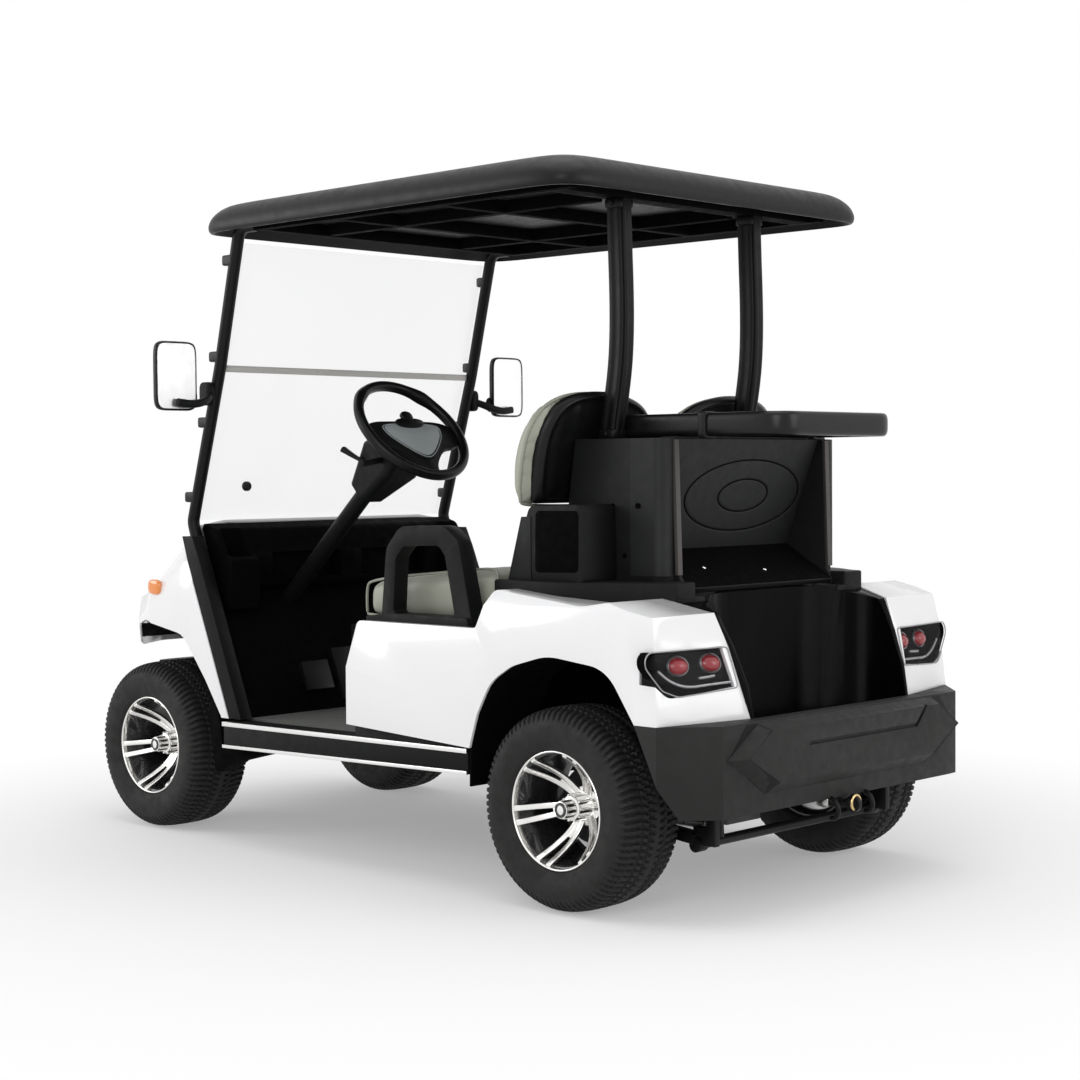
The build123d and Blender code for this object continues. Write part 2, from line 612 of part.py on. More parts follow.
@cache
def rear_form(wall):
    """Solid form inside the rear side panels' skin, wall deep under it."""
    sections = []
    for z, xo, yo, xi, yi in REAR_FACE:
        sections.append(Plane.XY.offset(z) * outline([
            (REAR_X + 740, 280), (REAR_X + 740, REAR_HALF_WIDTH - wall),
            (REAR_X + xo + 70, REAR_HALF_WIDTH - wall),
            (REAR_X + xo + wall, yo - wall), (REAR_X + xi + wall, yi - wall),
            (REAR_X + xi + wall + 10, 280),
        ]))
    form = stack(sections)
    top = shifted(REAR_TOP, REAR_X)
    rows = [(REAR_X + 727, 200), *top, (REAR_X - 420, 690), (REAR_X - 420, 200)]
    if wall:
        rows = [(x, z - wall, *r) for x, z, *r in rows]
        rows[0] = (REAR_X + 800, 200)
        rows[1] = (REAR_X + 800, 520)
        rows[2] = (REAR_X + 690, 650 - wall, 20)
    shoulder = front([(200, 100), (REAR_HALF_WIDTH + 5, 100), (REAR_HALF_WIDTH + 5, 700 - wall),
                      (REAR_HALF_WIDTH - 22 - wall, 752 - wall, 30), (200, 900)],
                     REAR_X - 450, REAR_X + 820)
    return form & side(rows, 250, 600) & shoulder


def quarter_panels():
    """White side panel with its shoulder, rear face and wheel arch, on each side."""
    skin = rear_form(0) - rear_form(PANEL)
    low = BUMPER_TOP + GAP
    skin -= plan(tub_edge(GAP), 300, 900)
    skin -= block(REAR_X + 270, REAR_X + 800, 200, SILL_HALF_WIDTH, 300, 900)
    skin -= side(shifted(REAR_ARCH, REAR_X), 250, 700)
    skin -= side(shifted([(-420, 300), (900, 300), (900, PANEL_LOW), (725, PANEL_LOW),
                          (270, PANEL_LOW_REAR), (-420, PANEL_LOW_REAR)], REAR_X), 200, 700)
    skin -= block(REAR_X - 420, REAR_X - 200, 200, 700, 300, low)
    skin -= lamp_block(GAP)
    return both(max(skin.solids(), key=lambda s: s.volume))


def lamp_block(extra):
    """The tail lamp's pocket in the left rear corner, grown by extra."""
    rows = [(347 - extra, 534 - extra), (545, 520 - extra, 40), (640, 600), (640, 622 + extra),
            (362 - extra, 626 + extra)]
    return front(rows, REAR_X - 400, REAR_X - 262 + extra)


def tail_lamps():
    """Wrap-round lamp unit in each rear corner."""
    lamp = (rear_form(0) - rear_form(40)) & lamp_block(0)
    lamp -= plan(tub_edge(4), 300, 900)
    return both(lamp)


def bumper_plan(wall):
    """Plan outline of the rear bumper, wall inside its face."""
    rows = [(REAR_X - 150, REAR_HALF_WIDTH - wall), (REAR_X - 312, REAR_HALF_WIDTH - wall),
            (REAR_X - 412 + wall, 474 - wall * 0.4), (BUMPER_FACE_X + wall, 440 - wall * 0.4)]
    return rows + [(x, -y) for x, y in rows[::-1]]


# Sunk line across the raised middle: y, z.
GROOVE = [(-290, 444), (-276, 444), (-236, 404), (200, 404), (206, 395), (-242, 395)]


def rear_bumper():
    """Hollow wrap-round bumper with a raised six-sided middle."""
    body = plan(bumper_plan(0), BUMPER_LOW, BUMPER_TOP)
    body -= plan(bumper_plan(PANEL), BUMPER_LOW - 1, BUMPER_TOP - PANEL)
    arch = side(shifted([(-100, 100), (-344, 100), (-344, 257), (-247, 461), (-247, 500),
                         (-100, 500)], REAR_X), -700, 700)
    body -= arch
    body -= plan(tub_edge(GAP), BUMPER_TOP - 20, BUMPER_TOP + 1)
    body -= block(REAR_X + TUB_PLAN[-1][0] - GAP, REAR_X, -TUB_PLAN[-1][1], TUB_PLAN[-1][1],
                  BUMPER_TOP - 20, BUMPER_TOP + 1)
    foot = [(-465, 382), (-351, 457), (351, 457), (465, 382), (321, 293), (-321, 293)]
    face = [(-427, 386), (-340, 442), (340, 442), (427, 386), (315, 322), (-315, 322)]
    raised = stack([Plane.YZ.offset(BUMPER_FACE_X) * outline(foot),
                    Plane.YZ.offset(TAIL_X) * outline(face)])
    groove = stack([Plane.YZ.offset(TAIL_X - 1) * outline(GROOVE),
                    Plane.YZ.offset(TAIL_X + 7) * outline(GROOVE)])
    return body + raised - groove


DECK_REAR = -195              # the deck's rear end, from the rear axle
WELL_FRONT = -161             # the well's front wall, from the rear axle
WELL_REAR = -372
# The basket's shelf: its upper face's crease and rear edge, x from the rear axle, z.
SHELF = [(-16, 835), (-161, 747)]
FIN = 12
FIN_Y = 300


def bag_well():
    """Open tub between the rear panels, where the bags stand."""
    outer = plan(tub_edge(0), WELL_FLOOR_Z - WELL_WALL, DECK_LOW + 40)
    front_x = WELL_FRONT + WELL_WALL
    deck_end = DECK_REAR - GAP
    low, lip = WELL_FLOOR_Z - WELL_WALL, BUMPER_TOP
    rows = [(front_x, low), (front_x, DECK_LOW - GAP), (deck_end, DECK_LOW - GAP),
            (deck_end, 719), (-280, 698), (-322, 621), (-358, 533), (WELL_REAR, lip),
            (WELL_REAR, low)]
    outer &= side(shifted(rows, REAR_X), -600, 600)
    for y0, y1 in ((362, 600), (-600, -362)):
        outer -= block(REAR_X - 260, REAR_X + 100, y0, y1, 300, DECK_LOW - 30)
    rim = well_form(WELL_WALL, DECK_LOW - 1, DECK_TOP) & block(
        REAR_X + deck_end, REAR_X, -600, 600, DECK_LOW - 1, DECK_TOP)
    sill = block(REAR_X - 500, REAR_X + WELL_REAR + WELL_WALL, -600, 600, 300, lip)
    return outer + (rim - under_shelf()) - (well_form(0, WELL_FLOOR_Z, 1000) - sill)


def well_form(extra, z0, z1):
    """The bags' space: a rounded front wall and straight sides, grown by extra."""
    half = [(REAR_X + WELL_FRONT + extra, 0), (REAR_X + WELL_FRONT + extra, 180, 200),
            (REAR_X - 235, 334 + extra, 90), (REAR_X - 420, 300 + extra), (REAR_X - 420, 0)]
    form = plan(half, z0, z1)
    return form + mirror(form, about=Plane.XZ)


def shelf_low(x, gap):
    """Height of a line that runs gap under the shelf's lower face."""
    (x0, z0), (x1, z1) = SHELF
    drop = (FIN + gap) * hypot(x0 - x1, z0 - z1) / (x0 - x1)
    return z1 - drop + (x - x1) * (z0 - z1) / (x0 - x1)


def under_shelf():
    """Cuts what stands under the basket's shelf back to its lower face."""
    end = SHELF[1][0]
    rows = [(end - 40, shelf_low(end, GAP)), (end, shelf_low(end, GAP)), (0, shelf_low(0, GAP)),
            (end - 40, 900)]
    return side(shifted(rows, REAR_X), -FIN_Y - GAP, FIN_Y + GAP)


LINER = 6


def rear_deck():
    """Black deck over the side panels' inner edges, round the front of the bags' well."""
    deck = plan(tub_edge(-GAP), DECK_LOW, DECK_TOP)
    deck &= block(REAR_X + DECK_REAR, REAR_X + 300, -600, 600, DECK_LOW, DECK_TOP)
    return deck - well_form(WELL_WALL + GAP, 600, 1000) - under_shelf()


HOUSING_Y = 350
HOUSING_TOP = 1104


HOUSING_WALL = 12
CHEEK_REAR = -119             # the housing's rear corners, from the rear axle


def rear_housing():
    """Box behind the seat backs, with a wide flange across its foot and a cheek each side."""
    lip = BACK_BOTTOM_Z - 12
    wall = HOUSING_WALL
    foot_x, face_x = shell_rear_x(lip) - GAP, shell_rear_x(HOUSING_TOP) - GAP
    flange = side([(REAR_X + 245, DECK_TOP), (REAR_X + 200, lip), (foot_x, lip),
                   (foot_x, DECK_TOP)], -480, 480)
    trunk = side([(REAR_X + 245, DECK_TOP), (REAR_X + 200, lip), (foot_x, lip),
                  (face_x, HOUSING_TOP), (REAR_X - 90, HOUSING_TOP),
                  (REAR_X - 90, HOUSING_TOP - wall), (REAR_X, HOUSING_TOP - wall),
                  (REAR_X, DECK_TOP)], -HOUSING_Y, HOUSING_Y)
    hollow = side([(REAR_X + 215, DECK_TOP - 1), (REAR_X + 180, lip - wall),
                   (foot_x - wall, lip - wall), (face_x - wall, HOUSING_TOP - wall),
                   (REAR_X + wall, HOUSING_TOP - wall), (REAR_X + wall, DECK_TOP - 1)],
                  -HOUSING_Y + wall, HOUSING_Y - wall)
    cheek = plan([(REAR_X + 2, FIN_Y + GAP), (REAR_X + 2, HOUSING_Y),
                  (REAR_X + CHEEK_REAR, HOUSING_Y, 22), (REAR_X + CHEEK_REAR - 14, FIN_Y + GAP)],
                 DECK_TOP, HOUSING_TOP)
    return flange + trunk - hollow + cheek + mirror(cheek, about=Plane.XZ)


def bag_basket():
    """Two fins, the sloping panel between them and the shelf that slopes back to the well."""
    top = RACK_LOW - GAP
    end, end_z = SHELF[1]
    foot = DECK_TOP + GAP
    meets = end + (foot - shelf_low(end, 0)) / (shelf_low(1, 0) - shelf_low(0, 0))
    fin = side(shifted([(-90 - GAP, top), (-90 - GAP, HOUSING_TOP - HOUSING_WALL - GAP),
                        (-GAP, HOUSING_TOP - HOUSING_WALL - GAP), (-GAP, foot), (meets, foot),
                        (end, shelf_low(end, 0)), (end, end_z), (-143, 775), (-133, top)],
                       REAR_X), FIN_Y - FIN, FIN_Y)
    panel = side(shifted(band([(end, end_z), SHELF[0], (-119, top)], FIN), REAR_X),
                 -FIN_Y + 1, FIN_Y - 1)
    panel &= block(REAR_X + end, REAR_X + 100, -FIN_Y, FIN_Y, BUMPER_TOP, top)
    return fin + mirror(fin, about=Plane.XZ) + panel


RACK_LOW = 1108
RACK_TOP = 1160
RACK_INNER = 200
RACK_OUTER = STRUT_Y - STRUT_WIDE / 2 - GAP
RACK_REAR_X = REAR_X - 398


def bag_rack():
    """U-shaped rail that the bag straps hang from."""
    outer = plan([(REAR_X + 118, -RACK_OUTER), (REAR_X + 118, RACK_OUTER),
                  (RACK_REAR_X, RACK_OUTER, 55), (RACK_REAR_X, -RACK_OUTER, 55)],
                 RACK_LOW, RACK_TOP)
    inner = plan([(REAR_X + 90, -RACK_INNER), (REAR_X + 90, RACK_INNER),
                  (RACK_REAR_X + 32, RACK_INNER, 30), (RACK_REAR_X + 32, -RACK_INNER, 30)],
                 RACK_LOW - 1, RACK_TOP + 1)
    return outer - inner


def wheel_liners():
    """Black inner arches over all four wheels, with a mud flap behind each front wheel."""
    rear = side(shifted(band([(286, 268), (284, 366), (255, 452), (209, 531), (137, 573),
                              (20, 604), (-160, 584), (-240, 470)][::-1], LINER), REAR_X),
                364, REAR_HALF_WIDTH - PANEL - GAP)
    arch = side(shifted(band([(-372, 372), (-292, 458), (-190, 578), (10, 612), (120, 586),
                              (190, 538)], -LINER), FRONT_X), 250, FRONT_HALF_WIDTH)
    arch = (arch & cowl_form(PANEL + GAP)) - head_block(3) - post_solid(2)
    flap = side(shifted([(-541, SILL_LOW - GAP), (-541, 262), (-400, 228), (-345, 196),
                         (-318, 196), (-288, 378), (-330, 392), (-352, SILL_LOW - GAP)], FRONT_X),
                FLAP_Y, FRONT_HALF_WIDTH - PANEL - 4)
    return Compound([*both(rear).solids(), *both(arch).solids(), *both(flap).solids()])


# ---------------------------------------------------------------- front bodywork
@cache
def cowl_form(wall):
    """Bonnet and wings as a loft through the cross-sections, wall deep under the skin."""
    sections = []
    last = COWL[-1][0]
    for x, half, shoulder, top_half, top in COWL:
        at = FRONT_X + (x if x < last else x - wall)
        w, s, t, h = half - wall, shoulder - wall * 0.7, top_half - wall * 0.6, top - wall
        sections.append(Plane.YZ.offset(at) * outline([
            (-w, 300), (w, 300), (w, s - 60), (w - 10, s), (t, h - 14), (t - 90, h),
            (-t + 90, h), (-t, h - 14), (-w + 10, s), (-w, s - 60)]))
    return stack(sections)


def front_cowl():
    """White nose: bonnet, wings and wheel arches, open at the back and below."""
    skin = cowl_form(0) - cowl_form(PANEL)
    rear_edge = side(shifted([(-500, 200), (-452, 200), (-396, 348), (-214, 781), (-188, 860),
                              (-182, 1000), (-500, 1000)], FRONT_X), -700, 700)
    skin -= rear_edge
    skin -= side(shifted(FRONT_ARCH, FRONT_X), -700, 700)
    skin -= block(FRONT_X + 200, NOSE_X + 50, -700, 700, 200, COWL_LOW)
    skin -= both(post_solid(2))
    skin -= block(FRONT_X - 500, NOSE_X, -700, 700, 200, 350)
    skin -= both(head_block(GAP))
    skin -= grille_block(GAP)
    return skin


def head_block(extra):
    """The headlamp's pocket in the left wing, grown by extra."""
    return plan([(FRONT_X + 78 - extra, 470), (FRONT_X + 150, 500), (FRONT_X + 270, 400),
                 (FRONT_X + 292 + extra, 250 - extra), (FRONT_X + 215, 262 - extra),
                 (FRONT_X + 96 - extra, 380 - extra)], 588 - extra, 760)


def head_lamps():
    """Headlamp with its amber end, in each wing."""
    return both((cowl_form(0) - cowl_form(44)) & head_block(0))


def grille_block(extra):
    return block(FRONT_X + 240, NOSE_X + 10, -190 - extra, 190 + extra, COWL_LOW + 8 - extra,
                 COWL_LOW + 44 + extra)


def front_bumper():
    """Black bumper ahead of the wheels and the dark insert under the bonnet's lip."""
    rear = NOSE_X - BUMPER_DEPTH
    beam = plan([(rear, -262), (rear, 262), (NOSE_X - 12, 272, 6), (NOSE_X, 230, 30),
                 (NOSE_X, -230, 30), (NOSE_X - 12, -272, 6)], 262, 452)
    beam += block(rear, NOSE_X - 22, -60, 60, 450, COWL_LOW + 12)
    insert = (cowl_form(0) - cowl_form(30)) & grille_block(0)
    return beam + insert


POD_Y = 368                   # inner side of each cup holder's pod


def dashboard():
    """Dash across the cabin, with a bin and a cup holder at each end."""
    top = side(shifted([(-232, 690), (-292, 700, 14), (-300, 790, 18), (-262, 868, 30),
                        (-205, 884), (-196, 872), (-226, 786), (-262, 700)], FRONT_X),
               -TOE_HALF_WIDTH, TOE_HALF_WIDTH)
    pod = side(shifted([(-262, 632), (-322, 642, 12), (-330, 786, 18), (-250, 812), (-230, 770)],
                       FRONT_X), POD_Y, TOE_HALF_WIDTH)
    cut_top = block(FRONT_X - 314, FRONT_X - 252, POD_Y + 14, TOE_HALF_WIDTH - 14, 716, 900)
    dash = top + pod + mirror(pod, about=Plane.XZ)
    cubby = block(FRONT_X - 400, FRONT_X - 262, 40, 300, 724, 800)
    for cut in (cut_top, cubby):
        dash -= cut
        dash -= mirror(cut, about=Plane.XZ)
    keep_clear = side([(TOE_X - GAP, FLOOR_TOP), (TOE_TOP_X - GAP, TOE_TOP_Z),
                       (TOE_TOP_X - GAP, TOE_TOP_Z + 6), (TOE_TOP_X + 25, TOE_TOP_Z + 6),
                       (TOE_TOP_X + 25, FLOOR_TOP)], -700, 700)
    return dash - keep_clear - column_solid(6)


def pillar_trims():
    """Black cover along the cowl's rear edge, up to the dash."""
    cover = side(shifted([(-448, 350), (-397, 350), (-215, 781), (-192, 850),
                          (-236, 850), (-266, 790)], FRONT_X),
                 FLOOR_HALF_WIDTH + GAP, FRONT_HALF_WIDTH - 2)
    return both(cover - post_solid(GAP))


# ---------------------------------------------------------------- posts, windshield, mirrors
@cache
def post_solid(extra):
    points = [(FRONT_X + x, POST_Y, z) for x, z, _ in POST]
    radii = [r for _, _, r in POST[1:-1]]
    return tube(points, radii, POST_RADIUS + extra)


def front_posts():
    """Bent tube each side, from the floor past the dash to the canopy frame."""
    post = post_solid(0) - block(TOE_X - 100, TOE_X + 100, 400, 600, 200, FLOOR_TOP + GAP)
    post -= block(TOE_X - 100, TOE_X + 100, FLOOR_HALF_WIDTH, 600, 200, SILL_TOP + GAP)
    return both(post)


GLASS = 5
STRIP = 18                    # the strip between the panes
GLASS_AHEAD = POST_RADIUS + 1
GLASS_LEAN = atan2(POST[3][0] - POST[2][0], POST[2][1] - POST[3][1])


@cache
def panes(extra):
    """Two flat panes ahead of the posts, one above the other, grown by extra."""
    shift = (GLASS_AHEAD - extra) / cos(GLASS_LEAN)
    half = POST_Y - 8 + extra
    glass = []
    for z0, z1 in ((GLASS_LOW - extra, GLASS_FOLD - STRIP / 2 + extra),
                   (GLASS_FOLD + STRIP / 2 - extra, GLASS_TOP + extra)):
        run = [(post_x(z0) + shift, z0), (post_x(z1) + shift, z1)]
        glass += side(band(run, GLASS + 2 * extra), -half, half).solids()
    return Compound(glass)


def windshield():
    """The two panes of the folding windshield."""
    return panes(0)


# Clip heights on each post.
CLIPS = (1615, 1352, 1170, 960)


def windshield_fittings():
    """The strip between the panes, and clips that hold the panes to the posts."""
    x = post_x(GLASS_FOLD) + GLASS_AHEAD / cos(GLASS_LEAN)
    strip = block(x, x + 12, -POST_Y + 8, POST_Y - 8, GLASS_FOLD - STRIP / 2 + GAP,
                  GLASS_FOLD + STRIP / 2 - GAP)
    made = (strip - panes(GAP)).solids()
    for z in CLIPS:
        px = post_x(z)
        clip = block(px - 27, px + 40, POST_Y - 30, POST_Y + 24, z - 22, z + 22)
        clip = clip - post_solid(GAP) - panes(GAP)
        made += both(max(clip.solids(), key=lambda s: s.volume)).solids()
    return Compound(made)


MIRROR_X = FRONT_X - 311
MIRROR_Y0 = 565
MIRROR_Y1 = 725
MIRROR_Z0 = 1194
MIRROR_Z1 = 1394


def mirrors():
    """Door mirror on a short arm from each post."""
    face = front([(MIRROR_Y0, MIRROR_Z0, 26), (MIRROR_Y1, MIRROR_Z0, 26),
                  (MIRROR_Y1, MIRROR_Z1, 26), (MIRROR_Y0, MIRROR_Z1, 26)],
                 MIRROR_X - 14, MIRROR_X + 14)
    arm = block(MIRROR_X - 8, MIRROR_X + 12, POST_Y + 10, MIRROR_Y0 + 12, 1232, 1262)
    grip = block(MIRROR_X - 16, MIRROR_X + 32, POST_Y + 14, POST_Y + 40, 1216, 1282)
    piece = face + arm + grip
    return both(piece - post_solid(GAP))


# ---------------------------------------------------------------- roof
def roof_section(z, inset, radius):
    x0, x1 = ROOF_REAR_X + inset, ROOF_FRONT_X - inset
    rows = [(x0, -ROOF_HALF_WIDTH + inset, radius), (x1, -ROOF_HALF_WIDTH + inset + 22, radius),
            (x1, ROOF_HALF_WIDTH - inset - 22, radius), (x0, ROOF_HALF_WIDTH - inset, radius)]
    return Plane.XY.offset(z) * outline(rows)


# Roof levels: z, how far the outline is inside the skirt's edge, corner radius.
ROOF = [(ROOF_SKIRT_Z, 4, 66), (ROOF_SKIRT_Z + 14, 0, 70), (1742, 22, 60), (1760, 52, 50),
        (ROOF_TOP, 190, 30)]


def roof():
    """Moulded top with a deep skirt, hollow below."""
    outer = stack([roof_section(*row) for row in ROOF])
    inner = stack([roof_section(z - ROOF_WALL, inset + ROOF_WALL, radius - ROOF_WALL / 2)
                   for z, inset, radius in ROOF])
    return outer - inner


def roof_frame():
    """Square tube frame that the roof is bolted to."""
    half = CANOPY_TUBE / 2
    z0, z1 = CANOPY_Z - half, CANOPY_Z + half
    x_front = FRONT_X - 485
    x_rear = REAR_X + 77
    y = POST_Y
    flat = ROOF[-1][1] + ROOF_WALL + 5
    frame = Part()
    for sign in (-1, 1):
        frame += block(x_rear - 60, x_front, sign * y - half, sign * y + half, z0, z1)
        frame += block(ROOF_REAR_X + flat, ROOF_FRONT_X - flat, sign * STRUT_Y - half,
                       sign * STRUT_Y + half, z0, ROOF_TOP - ROOF_WALL - GAP)
    # Cross tubes: x of each one's middle
    for x in (x_front - half, x_rear, x_rear + 390, x_rear + 780):
        frame += block(x - half, x + half, -y, y, z0, z1)
    return frame + block(x_rear - 30, x_rear + 30, -y, y, z0, z1)


def rear_struts():
    """Flattened tube each side, from the housing's top to the canopy frame."""
    points = [(REAR_X + 104, STRUT_Y, HOUSING_TOP + GAP), (REAR_X + 76, STRUT_Y, 1290),
              (REAR_X + 77, STRUT_Y, CANOPY_Z - CANOPY_TUBE / 2 - GAP)]
    path = FilletPolyline(*points, radius=[300])
    start = Plane(origin=path @ 0, x_dir=(0, 1, 0), z_dir=path % 0)
    bar = sweep(start * RectangleRounded(STRUT_WIDE, STRUT_LONG, 16), path=path)
    bar &= block(REAR_X, REAR_X + 200, 0, 400, HOUSING_TOP + GAP, CANOPY_Z - CANOPY_TUBE / 2 - GAP)
    return both(bar)


# ---------------------------------------------------------------- steering column and wheel
COLUMN_RADIUS = 24


def steer_place():
    """Frame at the steering wheel's middle, its Z axis along the column towards the driver."""
    tilt = radians(COLUMN_TILT)
    return Plane(origin=(WHEEL_X, WHEEL_Y, WHEEL_Z), x_dir=(0, 1, 0),
                 z_dir=(-cos(tilt), 0, sin(tilt)))


BOSS_LOW = -57                # the boss's lower face, along the column
BOSS_DEPTH = 50


def toe_board_depth():
    """How far down the column's axis the toe board's face lies, from the wheel's middle."""
    tilt = radians(COLUMN_TILT)
    run, rise = TOE_TOP_X - TOE_X, TOE_TOP_Z - FLOOR_TOP
    return (((TOE_X - WHEEL_X) * rise + (WHEEL_Z - FLOOR_TOP) * run)
            / (cos(tilt) * rise + sin(tilt) * run))


def column_solid(extra):
    """The column's cylinder, run a little past the toe board's face."""
    place = steer_place()
    top, low = BOSS_LOW - GAP, -toe_board_depth() - COLUMN_RADIUS
    return place * Pos(0, 0, (top + low) / 2) * Cylinder(COLUMN_RADIUS + extra, top - low)


def ahead_of_toe_board():
    """Everything on the far side of the toe board's face."""
    return side([(TOE_X - GAP, FLOOR_TOP), (TOE_TOP_X - GAP, TOE_TOP_Z), (NOSE_X, TOE_TOP_Z),
                 (NOSE_X, FLOOR_TOP)], -FRONT_HALF_WIDTH, FRONT_HALF_WIDTH)


def steering_column():
    """Column from the toe board, its shroud, stalk and key barrel."""
    place = steer_place()
    shroud = place * stack([
        Plane.XY.offset(-62) * RectangleRounded(118, 112, 24),
        Plane.XY.offset(-120) * RectangleRounded(130, 140, 24),
        Plane.XY.offset(-250) * RectangleRounded(84, 80, 20),
    ])
    column = column_solid(0) + shroud
    column += place * rod((50, 20, -96), (150, 44, -88), 8)
    column += place * rod((-40, -52, -110), (-52, -84, -104), 12)
    return column - ahead_of_toe_board()


def steering_wheel():
    """Rim, three spokes, boss and the clip plate in its upper half, where y is negative."""
    place = steer_place()
    ring = Torus(WHEEL_RADIUS, WHEEL_RIM)
    boss = Pos(0, 0, BOSS_LOW + BOSS_DEPTH / 2) * Cylinder(46, BOSS_DEPTH)
    wheel = ring + boss
    for turn in (0, 90, 180):
        wheel += Rot(0, 0, turn) * Pos(WHEEL_RADIUS / 2, 0, -12) * Box(WHEEL_RADIUS, 44, 12)
    plate = extrude(Plane.XY.offset(-16) * outline([
        (-60, 40, 20), (60, 40, 20), (125, -50, 30), (70, -92, 30), (-70, -92, 30),
        (-125, -50, 30)][::-1]), amount=12)
    return place * (wheel + plate)


def pedals():
    """Brake and accelerator pads on their arms, ahead of the driver."""
    made = []
    slope = degrees(atan2(TOE_TOP_Z - FLOOR_TOP, TOE_TOP_X - TOE_X))
    # y, pad width, pad height
    for y, wide, tall in ((150, 78, 150), (262, 96, 84)):
        x = TOE_X + 30
        pad = Pos(x - 62, y, 452) * Rot(0, -slope, 0) * Box(tall, wide, 12)
        arm = rod((x - 62, y, 452), (x + 12, y, 420), 8)
        made.append(max(((pad + arm) - ahead_of_toe_board()).solids(), key=lambda s: s.volume))
    return Compound(made)


# ---------------------------------------------------------------- write the pieces
def pieces():
    made = {
        "chassis_frame": chassis_frame(), "front_axle": front_axle(),
        "knuckle_left": knuckle(1), "knuckle_right": knuckle(-1), "tie_rod": tie_rod(),
        "rear_axle": rear_axle(), "rear_suspension": rear_suspension(),
        "floor_pan": floor_pan(), "floor_mat": floor_mat(), "rocker_panels": rocker_panels(),
        "rocker_trims": rocker_trims(), "seat_base": seat_base(),
        "battery_pack": battery_pack(), "seat_cushion": seat_cushion(), "seat_lid": seat_lid(),
        "seat_back_cushions": seat_back_cushions(), "seat_back_shells": seat_back_shells(),
        "armrests": armrests(), "quarter_panels": quarter_panels(), "tail_lamps": tail_lamps(),
        "rear_bumper": rear_bumper(), "bag_well": bag_well(), "rear_deck": rear_deck(),
        "rear_housing": rear_housing(), "bag_basket": bag_basket(), "bag_rack": bag_rack(),
        "wheel_liners": wheel_liners(), "front_cowl": front_cowl(), "head_lamps": head_lamps(),
        "front_bumper": front_bumper(), "dashboard": dashboard(),
        "pillar_trims": pillar_trims(), "front_posts": front_posts(),
        "windshield": windshield(), "windshield_fittings": windshield_fittings(),
        "mirrors": mirrors(), "roof": roof(), "roof_frame": roof_frame(),
        "rear_struts": rear_struts(), "steering_column": steering_column(),
        "steering_wheel": steering_wheel(), "pedals": pedals(),
    }
    # Wheels: name, axle x, wheel middle y
    for end, x, y in (("front", FRONT_X, FRONT_WHEEL_Y), ("rear", REAR_X, REAR_WHEEL_Y)):
        made[f"rim_{end}_left"] = rim(x, y)
        made[f"rim_{end}_right"] = mirror(rim(x, y), about=Plane.XZ)
        made[f"tyre_{end}_left"] = tyre(x, y)
        made[f"tyre_{end}_right"] = mirror(tyre(x, y), about=Plane.XZ)
    return made


os.makedirs("parts", exist_ok=True)
for name, shape in pieces().items():
    export_step(shape, f"parts/{name}.step")
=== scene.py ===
"""Visual finish of the two-seat golf cart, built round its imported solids.

Lengths are in metres in the vehicle's own frame: X forwards, Y to the driver's left, Z up, with
the ground at Z = 0. Tables marked mm are scaled by MM where they are used.
"""

import json

import bmesh
import bpy
import numpy as np
from mathutils import Matrix, Vector

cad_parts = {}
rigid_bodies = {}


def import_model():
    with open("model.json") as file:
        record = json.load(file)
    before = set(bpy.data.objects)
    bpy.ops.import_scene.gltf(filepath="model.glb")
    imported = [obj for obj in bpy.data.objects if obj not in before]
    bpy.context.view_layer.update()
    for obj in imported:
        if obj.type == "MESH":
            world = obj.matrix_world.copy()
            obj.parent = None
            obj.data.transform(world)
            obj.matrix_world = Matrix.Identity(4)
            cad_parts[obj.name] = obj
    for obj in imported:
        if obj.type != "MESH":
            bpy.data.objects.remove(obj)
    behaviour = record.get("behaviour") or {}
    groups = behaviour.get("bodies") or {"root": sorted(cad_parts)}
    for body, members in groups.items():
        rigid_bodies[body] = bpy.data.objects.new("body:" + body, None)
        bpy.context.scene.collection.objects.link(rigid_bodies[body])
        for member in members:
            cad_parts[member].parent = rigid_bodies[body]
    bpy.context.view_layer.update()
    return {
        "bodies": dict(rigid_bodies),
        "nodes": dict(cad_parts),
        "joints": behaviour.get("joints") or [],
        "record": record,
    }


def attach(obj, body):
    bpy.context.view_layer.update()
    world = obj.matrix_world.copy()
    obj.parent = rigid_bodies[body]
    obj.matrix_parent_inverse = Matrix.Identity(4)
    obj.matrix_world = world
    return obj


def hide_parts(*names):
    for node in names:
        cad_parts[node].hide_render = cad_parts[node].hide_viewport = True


bl_info = {
    "name": "Golf Cart Finish",
    "version": (1, 0, 0),
    "blender": (4, 5, 0),
    "location": "3D View > Sidebar > Golf Cart",
    "description": "Builds the tyres, wheels, seats, lamps and trims of a golf cart",
    "category": "Add Mesh",
}

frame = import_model()
NODES = frame["nodes"]
MM = 0.001
FRONT_X = 0.905              # axles, and half the distance between the wheels of each
REAR_X = -0.765
HUB_Z = 0.24
FRONT_HALF_TRACK = 0.433
REAR_HALF_TRACK = 0.491
STRUT_Y = 257.0              # rear struts, mm
BASKET_HALF = 286.5          # basket between its fins, mm
HOUSING_SIDE = 350.4         # housing's outer face, mm
AIR_FRAMES = 20              # cushion simulation
AIR_PRESSURE = 4.0
BENCH_AIR = (0.009, 0.010, 0.650)   # voxel, longest travel and lowest point of each cushion
BACK_AIR = (0.0075, 0.008, 0.930)
MERGE_DISTANCE = 1e-6
SIDES = (("left", 1), ("right", -1))


